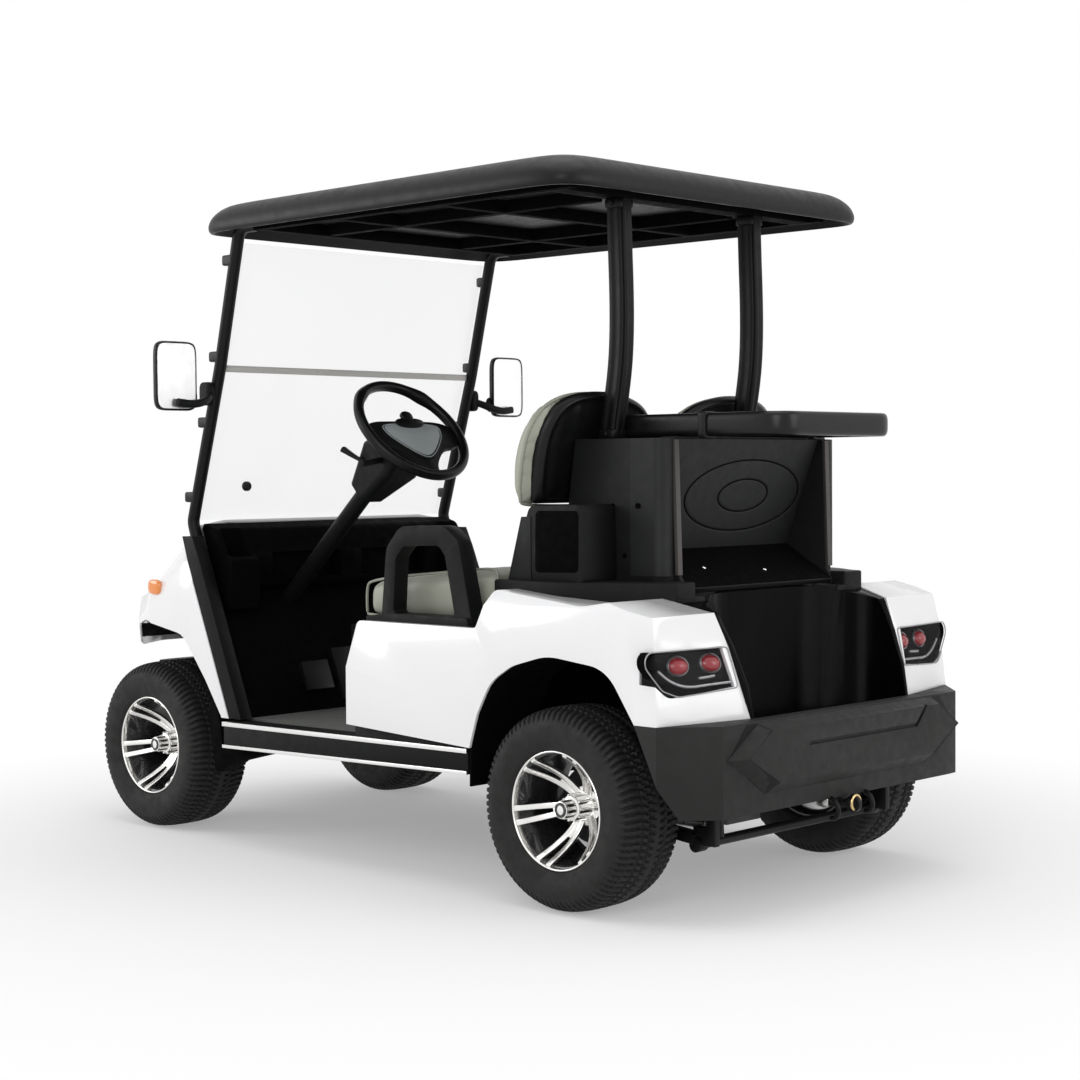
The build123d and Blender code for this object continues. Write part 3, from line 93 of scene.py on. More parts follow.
# ------------------------------------------------------------------ surfaces
def grid_faces(nu, nv, wrap_u=False, wrap_v=False):
    """Quads of an nu by nv grid of points, wrapped round in u or v."""
    u, v = np.meshgrid(np.arange(nu if wrap_u else nu - 1),
                       np.arange(nv if wrap_v else nv - 1), indexing="ij")
    u1, v1 = (u + 1) % nu, (v + 1) % nv
    return np.stack([u * nv + v, u1 * nv + v, u1 * nv + v1, u * nv + v1], -1).reshape(-1, 4)


def surface(points, wrap_u=False, wrap_v=False):
    """Points (nu, nv, 3) and the faces between them."""
    nu, nv = points.shape[:2]
    return points.reshape(-1, 3), grid_faces(nu, nv, wrap_u, wrap_v)


def joined(parts):
    """Several surfaces as one, with their point numbers run on."""
    starts = np.cumsum([0] + [len(p[0]) for p in parts[:-1]])
    return (np.concatenate([p[0] for p in parts]),
            np.concatenate([p[1] + s for p, s in zip(parts, starts)]))


def eased(points, rounds=2, closed=False):
    """Corner cutting: each pass puts two points on every run, at a quarter and three quarters."""
    points = np.asarray(points, float)
    for _ in range(rounds):
        ahead = np.roll(points, -1, 0)
        pairs = np.stack([points * 0.75 + ahead * 0.25, points * 0.25 + ahead * 0.75], 1)
        if closed:
            points = pairs.reshape(-1, points.shape[1])
        else:
            inner = pairs[:-1].reshape(-1, points.shape[1])[1:-1]
            points = np.concatenate([points[:1], inner, points[-1:]])
    return points


def spaced(points, count, closed=False):
    """Points put at equal steps of length along a run of straight lines."""
    run = np.concatenate([points, points[:1]]) if closed else points
    length = np.concatenate([[0], np.cumsum(np.linalg.norm(np.diff(run, axis=0), axis=1))])
    at = np.linspace(0, length[-1], count + 1 if closed else count)
    if closed:
        at = at[:-1]
    return np.stack([np.interp(at, length, run[:, k]) for k in range(run.shape[1])], -1)


def normals(path, closed=False):
    """Unit normals of a flat path: its tangent turned a quarter to the left."""
    ahead = np.roll(path, -1, 0) - np.roll(path, 1, 0) if closed else np.gradient(path, axis=0)
    side = np.stack([-ahead[:, 1], ahead[:, 0]], -1)
    return side / np.linalg.norm(side, axis=1, keepdims=True)


def shrunk(outline, share, middle):
    """Rings of an outline pulled towards a middle: middle + (outline - middle) * share."""
    return middle + (outline[None] - middle) * np.asarray(share)[:, None, None]


def capped(rings):
    """Rings of points with each end drawn together at its own middle."""
    ends = [np.broadcast_to(rings[i].mean(0), rings[i].shape)[None] for i in (0, -1)]
    return surface(np.concatenate([ends[0], rings, ends[1]]), False, True)


def squircle(width, height, power=4.0, count=32):
    """Closed outline |2a/width|^power + |2b/height|^power = 1, counted round by angle."""
    t = np.linspace(0, 2 * np.pi, count, endpoint=False)
    c, s = np.cos(t), np.sin(t)
    a = np.sign(c) * np.abs(c) ** (2 / power) * width / 2
    b = np.sign(s) * np.abs(s) ** (2 / power) * height / 2
    return np.stack([a, b], -1)


def cornered(outline, reach, steps=6):
    """Closed outline whose corners are curves: (1-t)^2 before + 2t(1-t) corner + t^2 after."""
    corner = np.asarray(outline, float)
    before, after = np.roll(corner, 1, 0) - corner, np.roll(corner, -1, 0) - corner
    before = corner + before * reach / np.linalg.norm(before, axis=1, keepdims=True)
    after = corner + after * reach / np.linalg.norm(after, axis=1, keepdims=True)
    t = np.linspace(0, 1, steps)[None, :, None]
    run = ((1 - t) ** 2 * before[:, None] + 2 * t * (1 - t) * corner[:, None]
           + t ** 2 * after[:, None])
    return run.reshape(-1, corner.shape[1])


def turned(profile, count=96, closed=False):
    """Profile rows (radius, w) turned round the w axis: x = r cos t, y = w, z = r sin t."""
    profile = np.asarray(profile, float)
    t = np.linspace(0, 2 * np.pi, count, endpoint=False)[:, None]
    r, w = profile[None, :, 0], profile[None, :, 1]
    return surface(np.stack([r * np.cos(t), w + 0 * t, r * np.sin(t)], -1), True, closed)


def carried(path, section, up=(0, 0, 1), closed=False, sizes=None):
    """Section (a, b) carried along a path: p + a * across + b * above, ends closed to a point.

    across = up x tangent and above = tangent x across, both of length one. sizes scales the
    section at each point of the path.
    """
    path, section = np.asarray(path, float), np.asarray(section, float)
    if closed:
        tangent = np.roll(path, -1, 0) - np.roll(path, 1, 0)
    else:
        tangent = np.gradient(path, axis=0)
    tangent /= np.linalg.norm(tangent, axis=1, keepdims=True)
    across = np.cross(np.broadcast_to(np.asarray(up, float), path.shape), tangent)
    across /= np.linalg.norm(across, axis=1, keepdims=True)
    above = np.cross(tangent, across)
    scale = np.ones(len(path)) if sizes is None else np.asarray(sizes, float)
    a = section[None, :, 0, None] * scale[:, None, None]
    b = section[None, :, 1, None] * scale[:, None, None]
    points = path[:, None] + a * across[:, None] + b * above[:, None]
    return surface(points, True, True) if closed else capped(points)


def mirrored(shape):
    """A surface and its image across the middle plane Y = 0."""
    return joined([shape, (shape[0] * [1, -1, 1], shape[1])])


def closed_mesh(name, shape):
    """A mesh of a surface: points merged, faces turned outwards."""
    points, faces = shape
    mesh = bpy.data.meshes.new(name)
    mesh.from_pydata(points.tolist(), [], faces.tolist())
    work = bmesh.new()
    work.from_mesh(mesh)
    bmesh.ops.remove_doubles(work, verts=work.verts, dist=MERGE_DISTANCE)
    bmesh.ops.dissolve_degenerate(work, edges=work.edges, dist=MERGE_DISTANCE / 10)
    bmesh.ops.recalc_face_normals(work, faces=work.faces)
    work.to_mesh(mesh)
    work.free()
    return mesh


def piece(name, shape, look, replaces=(), body="vehicle", smooth=40.0):
    """Makes one object of a surface, gives it a finish, and lets it ride a body."""
    mesh = closed_mesh(name, shape)
    mesh.shade_smooth()
    mesh.set_sharp_from_angle(angle=np.radians(smooth))
    made = bpy.data.objects.new(name, mesh)
    bpy.context.scene.collection.objects.link(made)
    mesh.materials.append(FINISHES[look])
    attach(made, body)
    if replaces:
        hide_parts(*replaces)
    return made


# ------------------------------------------------------------------ finishes
def node(tree, kind, settings=None, **inputs):
    """Adds a node; inputs are values or sockets by name, with _ for a space."""
    made = tree.nodes.new(kind)
    for key, value in (settings or {}).items():
        setattr(made, key, value)
    for key, value in inputs.items():
        socket = made.inputs[key.replace("_", " ")]
        if isinstance(value, bpy.types.NodeSocket):
            tree.links.new(value, socket)
        else:
            socket.default_value = value
    return made


def blank_finish(name):
    """A material with its node tree, Principled shader and Object coordinates."""
    made = bpy.data.materials.new(name)
    made.use_nodes = True
    tree = made.node_tree
    shader = tree.nodes["Principled BSDF"]
    coords = tree.nodes.new("ShaderNodeTexCoord").outputs["Object"]
    return made, tree, shader, coords


def finish(name, colour, rough, grain=600.0, depth=0.1, tint=0.15, cells=False, stretch=None,
           **sockets):
    """Principled finish: colour mottled by broad noise, roughness by mid noise, grain by bump.

    sockets are the shader's other constant values, such as Metallic and Coat_Weight. cells takes
    leather-like cells for the grain in place of noise.
    """
    made, tree, shader, coords = blank_finish(name)
    if stretch:
        coords = node(tree, "ShaderNodeMapping", Vector=coords, Scale=stretch).outputs[0]
    broad = node(tree, "ShaderNodeTexNoise", Vector=coords, Scale=5.0, Detail=4.0)
    dark = [c * (1 - tint) for c in colour] + [1]
    light = [min(1, c * (1 + tint)) for c in colour] + [1]
    mix = node(tree, "ShaderNodeMix", {"data_type": "RGBA"}, Factor=broad.outputs["Fac"])
    mix.inputs[6].default_value = dark
    mix.inputs[7].default_value = light
    tree.links.new(mix.outputs[2], shader.inputs["Base Color"])
    mid = node(tree, "ShaderNodeTexNoise", Vector=coords, Scale=40.0, Detail=3.0)
    spread = node(tree, "ShaderNodeMapRange", Value=mid.outputs["Fac"], From_Min=0.3,
                  From_Max=0.7, To_Min=rough * 0.85, To_Max=min(1, rough * 1.15))
    tree.links.new(spread.outputs[0], shader.inputs["Roughness"])
    if cells:
        fine = node(tree, "ShaderNodeTexVoronoi", {"feature": "DISTANCE_TO_EDGE"},
                    Vector=coords, Scale=grain)
        height = fine.outputs["Distance"]
    else:
        fine = node(tree, "ShaderNodeTexNoise", Vector=coords, Scale=grain, Detail=2.0)
        height = fine.outputs["Fac"]
    bump = node(tree, "ShaderNodeBump", Height=height, Strength=depth, Distance=0.001)
    tree.links.new(bump.outputs[0], shader.inputs["Normal"])
    for key, value in sockets.items():
        shader.inputs[key.replace("_", " ")].default_value = value
    return made


def machined_finish(name, centre_x):
    """Bright alloy with fine lathe rings about a wheel's axle."""
    made, tree, shader, coords = blank_finish(name)
    centred = node(tree, "ShaderNodeMapping", Vector=coords, Location=(-centre_x, 0, -HUB_Z))
    rings = node(tree, "ShaderNodeTexWave", {"wave_type": "RINGS", "rings_direction": "Y"},
                 Vector=centred.outputs[0], Scale=180.0, Distortion=0.4)
    tone = node(tree, "ShaderNodeMapRange", Value=rings.outputs["Fac"], To_Min=0.16, To_Max=0.3)
    tree.links.new(tone.outputs[0], shader.inputs["Roughness"])
    bump = node(tree, "ShaderNodeBump", Height=rings.outputs["Fac"], Strength=0.06,
                Distance=0.0005)
    tree.links.new(bump.outputs[0], shader.inputs["Normal"])
    shader.inputs["Base Color"].default_value = (0.86, 0.85, 0.83, 1)
    shader.inputs["Metallic"].default_value = 1.0
    return made


FINISHES = {}


def make_finishes(size):
    """Every finish of the cart by its plain name."""
    plastic, paint, vinyl = size.plastic_colour, size.panel_colour, size.vinyl_colour
    f = FINISHES
    f["panel"] = finish("white_gelcoat", paint, 0.22, 260, 0.02, 0.012, Coat_Weight=0.6,
                        Coat_Roughness=0.06)
    f["plastic"] = finish("black_moulding", plastic, 0.5, 900, 0.35, 0.22,
                          Specular_IOR_Level=0.12)
    f["canopy"] = finish("black_canopy", [c * 0.45 for c in plastic], 0.42, 700, 0.15, 0.2,
                         Specular_IOR_Level=0.22)
    f["satin"] = finish("black_satin_moulding", [c * 0.7 for c in plastic], 0.36, 500, 0.12, 0.2,
                        Specular_IOR_Level=0.2)
    # Black moulding darkened to a quarter as painted shade inside the deep bag well, with almost no
    # reflection.
    f["deck"] = finish("black_gloss_well_shade", [c * 0.25 for c in plastic], 0.24, 500, 0.03, 0.2,
                       Specular_IOR_Level=0.035)
    # Darker black than the plain moulding: the own colour of the floor pan, seat base, wheel
    # liners, dashboard, roof frame and lamp bowls, and painted shade on the basket's shelf and
    # ovals, the panels in the shoulder boxes' sides and the housing's holes.
    f["groove"] = finish("black_lining_and_painted_shade", [c * 0.3 for c in plastic], 0.8, 500, 0.1, 0.2,
                         Specular_IOR_Level=0.03)
    f["basket"] = finish("black_grained_sheet", [c * 2.0 for c in plastic], 0.5, 700, 0.3, 0.2,
                         Specular_IOR_Level=0.2)
    f["grain"] = finish("black_corner_moulding", [c * 1.4 for c in plastic], 0.5, 800, 0.3, 0.2,
                        Specular_IOR_Level=0.15)
    # Lighter colour that stands for the highlight on each fin's rear edge: a painted highlight.
    f["edge"] = finish("painted_edge_highlight", (0.05, 0.045, 0.041), 0.5, 300, 0.2, 0.3, Metallic=0.1)
    f["bezel"] = finish("lamp_bezel", (0.3, 0.3, 0.31), 0.3, 300, 0.05, 0.1, Metallic=0.7)
    f["strip"] = finish("clear_channel", (0.5, 0.49, 0.47), 0.3, 300, 0.05, 0.1)
    f["bumper"] = finish("grained_grey_moulding", (0.0165, 0.016, 0.0155), 0.55, 850, 0.5, 0.12,
                         Specular_IOR_Level=0.2)
    f["rail"] = finish("black_rail", [c * 0.7 for c in plastic], 0.3, 500, 0.06, 0.2,
                       Specular_IOR_Level=0.25)
    f["powder"] = finish("black_powder_coat", [c * 0.8 for c in plastic], 0.4, 700, 0.25, 0.15,
                         Specular_IOR_Level=0.15)
    f["steel"] = finish("dark_steel", (0.07, 0.07, 0.075), 0.5, 300, 0.3, 0.3, Metallic=0.8)
    f["vinyl"] = finish("seat_vinyl", vinyl, 0.5, 420, 0.22, 0.06, cells=True, Sheen_Weight=0.15,
                        Sheen_Roughness=0.5)
    f["piping"] = finish("seat_piping", [c * 0.8 for c in vinyl], 0.5, 300, 0.1, 0.1)
    f["rubber"] = finish("tyre_rubber", (0.0105, 0.0095, 0.0092), 0.68, 500, 0.3, 0.3,
                         Specular_IOR_Level=0.3)
    f["mat"] = finish("mat_rubber", (0.1, 0.105, 0.098), 0.75, 700, 0.3, 0.15)
    f["bright"] = finish("brushed_trim", (0.8, 0.8, 0.79), 0.3, 500, 0.1, 0.05, Metallic=1.0)
    f["chrome"] = finish("chrome", (0.86, 0.86, 0.87), 0.09, 200, 0.01, 0.03, Metallic=1.0)
    f["brass"] = finish("brass", (0.7, 0.52, 0.26), 0.3, 300, 0.1, 0.1, Metallic=1.0)
    f["rim_black"] = finish("wheel_black", (0.012, 0.012, 0.013), 0.25, 400, 0.05, 0.2,
                            Coat_Weight=0.5)
    f["battery"] = finish("battery_case", (0.05, 0.05, 0.06), 0.5, 500, 0.2, 0.2)
    f["red"] = finish("red_lens", (0.3, 0.004, 0.014), 0.15, 300, 0.05, 0.2, Coat_Weight=0.4)
    f["amber"] = finish("amber_lens", (0.85, 0.25, 0.03), 0.12, 300, 0.05, 0.2, Coat_Weight=1.0)
    f["lamp_clear"] = finish("clear_lens", (0.75, 0.78, 0.8), 0.05, 200, 0.01, 0.05,
                             Coat_Weight=1.0, Metallic=0.6)
    f["mirror"] = finish("mirror_glass", (0.95, 0.95, 0.96), 0.35, 60, 0.0, 0.01, Metallic=1.0)
    f["plate"] = finish("clip_plate", (0.33, 0.36, 0.37), 0.45, 500, 0.1, 0.08)
    f["glass"] = finish("clear_pane", (0.9, 0.92, 0.92), 0.03, 50, 0.0, 0.01, Alpha=0.1,
                        Coat_Weight=0.3)
    f["lens_cover"] = finish("lens_cover", (0.12, 0.12, 0.12), 0.05, 50, 0.0, 0.01, Alpha=0.08)
    f["machined_front"] = machined_finish("machined_alloy_front", FRONT_X)
    f["machined_rear"] = machined_finish("machined_alloy_rear", REAR_X)


# CAD nodes that stay as they are: finish, rounding of their edges in mm.
CAD_FINISH = {
    "chassis_frame": ("powder", 1.5), "front_axle": ("powder", 1.0), "knuckle_left": ("steel", 0),
    "knuckle_right": ("steel", 0), "tie_rod": ("steel", 0), "rear_axle": ("steel", 2.0),
    "rear_suspension": ("powder", 1.0), "floor_pan": ("groove", 2.0),
    "rocker_panels": ("plastic", 3.0), "seat_base": ("groove", 3.0),
    "battery_pack": ("battery", 3.0), "seat_lid": ("plastic", 1.5), "armrests": ("plastic", 5.0),
    "quarter_panels": ("panel", 3.0), "rear_bumper": ("bumper", 4.0), "bag_well": ("deck", 3.0),
    "rear_deck": ("plastic", 5.0), "rear_housing": ("grain", 5.0),
    "bag_basket": ("plastic", 3.0), "wheel_liners": ("groove", 1.5),
    "front_cowl": ("panel", 3.0), "head_lamps": ("lamp_clear", 2.0),
    "front_bumper": ("plastic", 4.0), "dashboard": ("groove", 5.0),
    "pillar_trims": ("plastic", 4.0), "front_posts": ("powder", 0), "windshield": ("glass", 0),
    "windshield_fittings": ("plastic", 2.0), "roof_frame": ("groove", 2.0),
    "steering_column": ("plastic", 4.0), "pedals": ("powder", 1.5),
    "bag_rack": ("satin", 6.0), "seat_cushion": ("vinyl", 8.0),
    "seat_back_cushions": ("vinyl", 8.0), "seat_back_shells": ("satin", 4.0),
    "steering_wheel": ("plastic", 2.0), "mirrors": ("mirror", 0), "tail_lamps": ("lens_cover", 2.0),
    "floor_mat": ("mat", 0), "rocker_trims": ("bright", 1.0),
}


def dress_node(name, look, rounding):
    """Gives a CAD node its finish, and softens its edges where rounding is set."""
    solid = NODES[name]
    solid.data.materials.clear()
    solid.data.materials.append(FINISHES[look])
    solid.data.polygons.foreach_set("use_smooth", [True] * len(solid.data.polygons))
    weld = solid.modifiers.new("merge", "WELD")
    weld.merge_threshold = 1e-5
    if rounding:
        bevel = solid.modifiers.new("soften", "BEVEL")
        bevel.width = rounding * MM
        bevel.segments = 2
        bevel.limit_method = "ANGLE"
        bevel.angle_limit = np.radians(32)
        bevel.use_clamp_overlap = True
        bevel.harden_normals = True
        bevel.loop_slide = False
    else:
        split = solid.modifiers.new("creases", "EDGE_SPLIT")
        split.split_angle = np.radians(35)


# ------------------------------------------------------------------ wheels
# Tyre section in mm: radius, distance from the tyre's middle, outer half.
TYRE_OUTLINE = [(141, 86), (146, 94), (166, 100), (186, 103), (204, 101), (220, 95), (232, 82),
                (237, 66), (239.6, 40), (240, 0)]
POINTS_A_PITCH = 7


def tread_tyre(pitches, depth):
    """Turf tyre: the section is turned about the axle, and grooves sink into its crown.

    Grooves run round at fixed widths, and across at a fixed pitch that leans with the width and
    fades out down the shoulder. A point sinks along its own normal by the deeper of the two.
    """
    half = eased(np.array(TYRE_OUTLINE), 3)
    inner = half[::-1] * [1, -1]
    tail = np.array([(150, 84), (150, -84)])
    outer = spaced(np.concatenate([half, inner[1:]]), 84)
    t = np.linspace(0, 2 * np.pi, pitches * POINTS_A_PITCH, endpoint=False)[:, None]
    r, w = outer[None, :, 0], outer[None, :, 1]
    slope = np.gradient(outer, axis=0)
    slope /= np.linalg.norm(slope, axis=1, keepdims=True)
    normal = np.stack([-slope[:, 1], slope[:, 0]], -1)
    lean = 1.1 * np.sin(np.abs(w) / 40) * np.where(np.abs(w) > 30, 1, 0.4)
    phase = (t * pitches / (2 * np.pi) + lean + np.where(w > 0, 0.5, 0)) % 1
    across = np.clip((0.19 - np.abs(phase - 0.5)) / 0.1 + 0.5, 0, 1)
    across *= np.clip((np.abs(w) - 6) / 4, 0, 1) * np.clip((r - 206) / 16, 0, 1)
    around = sum(np.clip((3.2 - np.abs(np.abs(w) - at)) / 1.6, 0, 1) for at in (24, 52))
    around = around * np.clip((r - 228) / 4, 0, 1)
    sink = depth * np.maximum(across, np.broadcast_to(around, across.shape))
    ridge = 0.8 * sum(np.exp(-((r - at) / 1.6) ** 2) for at in (160, 196))
    rr = r - (sink - ridge) * np.abs(normal[None, :, 0])
    ww = w - (sink - ridge) * normal[None, :, 1] * np.where(normal[None, :, 0] < 0, -1, 1)
    skin = np.stack([rr * np.cos(t), ww + 0 * t, rr * np.sin(t)], -1)
    inside = np.stack([tail[None, ::-1, 0] * np.cos(t), tail[None, ::-1, 1] + 0 * t,
                       tail[None, ::-1, 0] * np.sin(t)], -1)
    points = np.concatenate([skin, inside], 1) * MM
    return surface(points, True, True)


def placed_wheel(shape, x, y, side):
    """A wheel shape built about its own axle, put at x, y on one side of the cart."""
    points = shape[0] * [1, side, 1] + [x, side * y, HUB_Z]
    return points, shape[1]


SPOKE_PAIRS = np.radians(-11 + 60 * np.arange(6))
LIP_RADIUS, LIP_DEPTH, DISH_FALL = 131, 82, 98
DRUM_RIBS = 10


def dish(r):
    """Depth of the spokes' face in mm at a radius: it drops at the lip, then flattens inwards."""
    return LIP_DEPTH - DISH_FALL * (1 - (np.clip(r, 0, LIP_RADIUS) / LIP_RADIUS) ** 2.6)


def bars_along(turn, r, offset, section):
    """A flat-topped bar from r[0] to r[-1] along a direction, offset sideways, on the dish."""
    flat = (r[:, None] * [np.cos(turn), np.sin(turn)]
            + offset[:, None] * np.array([-np.sin(turn), np.cos(turn)]))
    path = np.stack([flat[:, 0], dish(r), flat[:, 1]], -1) * MM
    return carried(path, section, up=(0, 1, 0))


def wheel_bright():
    """Machined lip, six pairs of bars that dish in to the hub, and the hub's ribbed drum."""
    lip = turned(eased([(139, 66), (140.3, 80), (141.3, 88), (138.5, 90.5), (135.5, 89),
                        (134.5, 84), (134.5, 66)], 2, True) * MM, 120, True)
    hub = turned(np.array([(0, 72), (14, 72), (20, 70), (22.5, 64), (22.5, 38), (28, 36), (30, 32),
                           (30, -8), (46, -12), (46, -22), (0, -22)]) * MM, 60)
    parts = [lip, hub]
    reach = np.linspace(30, 137, 22)
    spread = np.interp(reach, (45, 78, LIP_RADIUS), (8, 11, 17))
    root = np.linspace(26, 80, 12)
    for turn in SPOKE_PAIRS:
        for lean in (-1, 1):
            parts.append(bars_along(turn, reach, lean * spread, squircle(14 * MM, 10 * MM, 6, 24)))
        parts.append(bars_along(turn, root, 0 * root, squircle(26 * MM, 7 * MM, 6, 24)))
    rib = turned(np.array([(0, 35), (2.6, 34.5), (3.2, 33), (3.2, -10), (0, -10)]) * MM, 10)
    for turn in 2 * np.pi / DRUM_RIBS * np.arange(DRUM_RIBS):
        parts.append((rib[0] + np.array([np.cos(turn), 0, np.sin(turn)]) * 30.5 * MM, rib[1]))
    return joined(parts)


def wheel_dark():
    """Painted barrel, and the plain ring on the hub's cap."""
    barrel = turned(eased([(139, 66), (134, 80), (127, 60), (122, 20), (118, -60), (128, -86),
                           (138, -89), (140, -84), (131, -60), (129, 0), (131, 46)], 1, True) * MM,
                    72, True)
    ring = turned(np.array([(11, 71.8), (11, 73), (13, 74), (16, 73.4), (18, 71.5), (16, 69),
                            (11, 69)]) * MM, 40, True)
    return joined([barrel, ring])


# ------------------------------------------------------------------ canopy and struts
# Canopy section in mm: how far inside the skirt's edge, height.
CANOPY_OUTER = [(6, 1684), (1, 1690), (0, 1706), (8, 1728), (26, 1748), (52, 1762), (110, 1769),
                (240, 1773), (420, 1775), (600, 1775)]
CANOPY_INNER = [(600, 1764), (300, 1762), (110, 1756), (62, 1748), (38, 1734), (20, 1708),
                (13, 1690), (10, 1684)]


CANOPY_REAR, CANOPY_FRONT, CANOPY_HALF, CANOPY_POWER = -827.0, 583.0, 600.0, 16.0
LINING = [(-790, -560), (545, -560), (545, 560), (-790, 560)]
LINING_LOW, LINING_TOP = 1719, 1723


def canopy_shape():
    """Closed shell: rounded-rectangle outlines that shrink by the section's inset and rise."""
    x0, x1, half, power = CANOPY_REAR, CANOPY_FRONT, CANOPY_HALF, CANOPY_POWER
    t = np.linspace(0, 2 * np.pi, 240, endpoint=False)
    ca = np.sign(np.cos(t)) * np.abs(np.cos(t)) ** (2 / power)
    sa = np.sign(np.sin(t)) * np.abs(np.sin(t)) ** (2 / power)
    shells = []
    for rows in (eased(CANOPY_OUTER, 2), eased(CANOPY_INNER, 2)):
        inset, z = rows[:, :1], rows[:, 1:]
        x = (x0 + x1) / 2 + np.maximum((x1 - x0) / 2 - inset, 105) * ca[None]
        y = (half - inset) * sa[None] * (1 - 0.035 * (x - x0) / (x1 - x0))
        shells.append(surface((np.stack([x, y, z + 0 * x], -1) * MM).swapaxes(0, 1), True))
    skirt = surface(np.stack([shells[0][0].reshape(240, -1, 3)[:, 0],
                              shells[1][0].reshape(240, -1, 3)[:, -1]], 1), True)
    return joined(shells + [skirt])


# Rear strut from its foot to its head, (x, z) in mm.
STRUT_PATH = [(-661, 1104), (-664, 1140), (-685, 1248), (-694, 1330), (-696, 1442), (-690, 1600),
              (-688, 1687)]


def canopy_lining():
    """Flat dark sheet close under the canopy's crown, inside its skirt."""
    sheet = plate_slab(cornered(LINING, 60), LINING_LOW, LINING_TOP, 1, rounds=0)
    return sheet[0] * MM, sheet[1]


BRACKETS = ((-664, 1116), (-688, 1676))    # x, z of each strut's foot and head
BRACKET_HALF = (27, 28, 13)


def strut_brackets():
    """Blocks that clamp each strut at its foot and head, with a bolt on the outside."""
    parts = []
    dx, dy, dz = BRACKET_HALF
    for x, z in BRACKETS:
        parts.append(rounded_box((x - dx, STRUT_Y - dy, z - dz),
                                 (x + dx, STRUT_Y + dy, z + dz), 6, 6, 32))
        parts.append(bolt_heads([(x, STRUT_Y + dy, z)], (0, 1, 0), 7, 5))
    return joined(parts)


def fluted(width, depth, flutes, bite, count=72):
    """Squircle outline with shallow flutes: its size is cut by bite * cos^2 of the flute count."""
    base = squircle(width, depth, 3.2, count)
    t = np.linspace(0, 2 * np.pi, count, endpoint=False)
    return base * (1 - bite * np.cos(flutes * t / 2) ** 8)[:, None]


# ------------------------------------------------------------------ seats
BENCH_SIDE = [(-476, 658), (-2, 658), (2, 664), (2, 728), (-10, 742), (-160, 758), (-300, 770),
              (-462, 784), (-474, 776)]
BENCH_HALF = 484
# Seat back in mm: outline (y, z) of the left lobe, and the faces' x at rising z.
LOBE = [(24, 938), (470, 938), (484, 960), (490, 1060), (482, 1135), (455, 1184), (415, 1210),
        (350, 1226), (245, 1229), (165, 1218), (110, 1203), (66, 1180), (36, 1145), (20, 1095),
        (18, 960)]
LOBE_Z = [930, 985, 1050, 1110, 1170, 1230]
LOBE_FRONT = [-553, -513, -518, -532, -556, -590]
LOBE_REAR = [-558, -564, -575, -588, -606, -624]
LOBE_FOOT, CROWN_SHARE, PIPING_SHARE = 938, 0.98, 0.972
SHELL_FOOT, SHELL_SHARE, SHELL_SHIFT = 949, (0.93, 1.0), (-12, 0)
SHELL_RIBS = (120, 346, 396)


def lowered(outline):
    """The cushion's outline: the seat back's own, with its crown brought down a little."""
    z = LOBE_FOOT + (outline[:, 1] - LOBE_FOOT) * CROWN_SHARE
    return np.stack([outline[:, 0], z], -1)


def bench_shape():
    """Side outline carried across the cart; its ends are rounded in by a quarter circle."""
    outline = spaced(eased(BENCH_SIDE, 2, True), 90, True)
    inward = normals(outline, True)
    t = np.linspace(0, np.pi / 2, 7)
    y = np.concatenate([-BENCH_HALF + 30 * (1 - np.sin(t)), np.linspace(-440, 440, 24),
                        BENCH_HALF - 30 * (1 - np.sin(t[::-1]))])
    y = np.sort(y)
    inset = 30 - np.sqrt(np.clip(900 - np.clip(np.abs(y) - BENCH_HALF + 30, 0, 30) ** 2, 0, None))
    rings = outline[None] + inward[None] * inset[:, None, None]
    body = np.stack([rings[..., 0], y[:, None] + 0 * rings[..., 0], rings[..., 1]], -1)
    return capped(body * MM)


def lobe_shape(side):
    """Two faces of shrinking outlines: the front one is crowned, the rear one lies on its shell."""
    outline = lowered(spaced(eased(LOBE, 2, True), 120, True))
    middle = outline.mean(0)
    faces = []
    for front in (0, 1):
        t = np.linspace(0, 1, 12)[:, None]
        ring = shrunk(outline, (np.sin(t * np.pi / 2) if front else t)[:, 0], middle)
        rear = np.interp(ring[..., 1], LOBE_Z, LOBE_REAR)
        ahead = np.interp(ring[..., 1], LOBE_Z, LOBE_FRONT)
        x = rear + (ahead - rear) * np.clip(np.cos(t * np.pi / 2), 0, 1) ** 0.5 if front else rear
        points = np.stack([x, side * ring[..., 0], ring[..., 1]], -1)
        faces.append(surface(points * MM, False, True))
    return joined(faces)


def shell_shape(side):
    """Domed shell behind a lobe: outlines shrink as they stand back, with three soft ribs."""
    outline = spaced(eased(LOBE, 2, True), 160, True)
    middle = outline.mean(0)
    outline = middle + (outline - middle) * SHELL_SHARE + SHELL_SHIFT
    rows = [(0, 2), (0.95, 2), (0.965, -2), (0.965, -8), (0.95, -15), (0.9, -24), (0.87, -27),
            (0.84, -24), (0.81, -23), (0.7, -25), (0.5, -26), (0.25, -27), (0, -27)]
    share, back = np.array(eased(rows, 1)).T
    ring = shrunk(outline, share, middle)
    y, z = ring[..., 0], np.maximum(ring[..., 1], SHELL_FOOT)
    rib = sum(np.exp(-((y - at) / 9) ** 2) for at in SHELL_RIBS)
    fade = np.clip((0.84 - share) / 0.1, 0, 1)[:, None]
    x = np.interp(z, LOBE_Z, LOBE_REAR) + back[:, None] - 5 * rib * fade * (back < 0)[:, None]
    return surface(np.stack([x, side * y, z], -1) * MM, False, True)


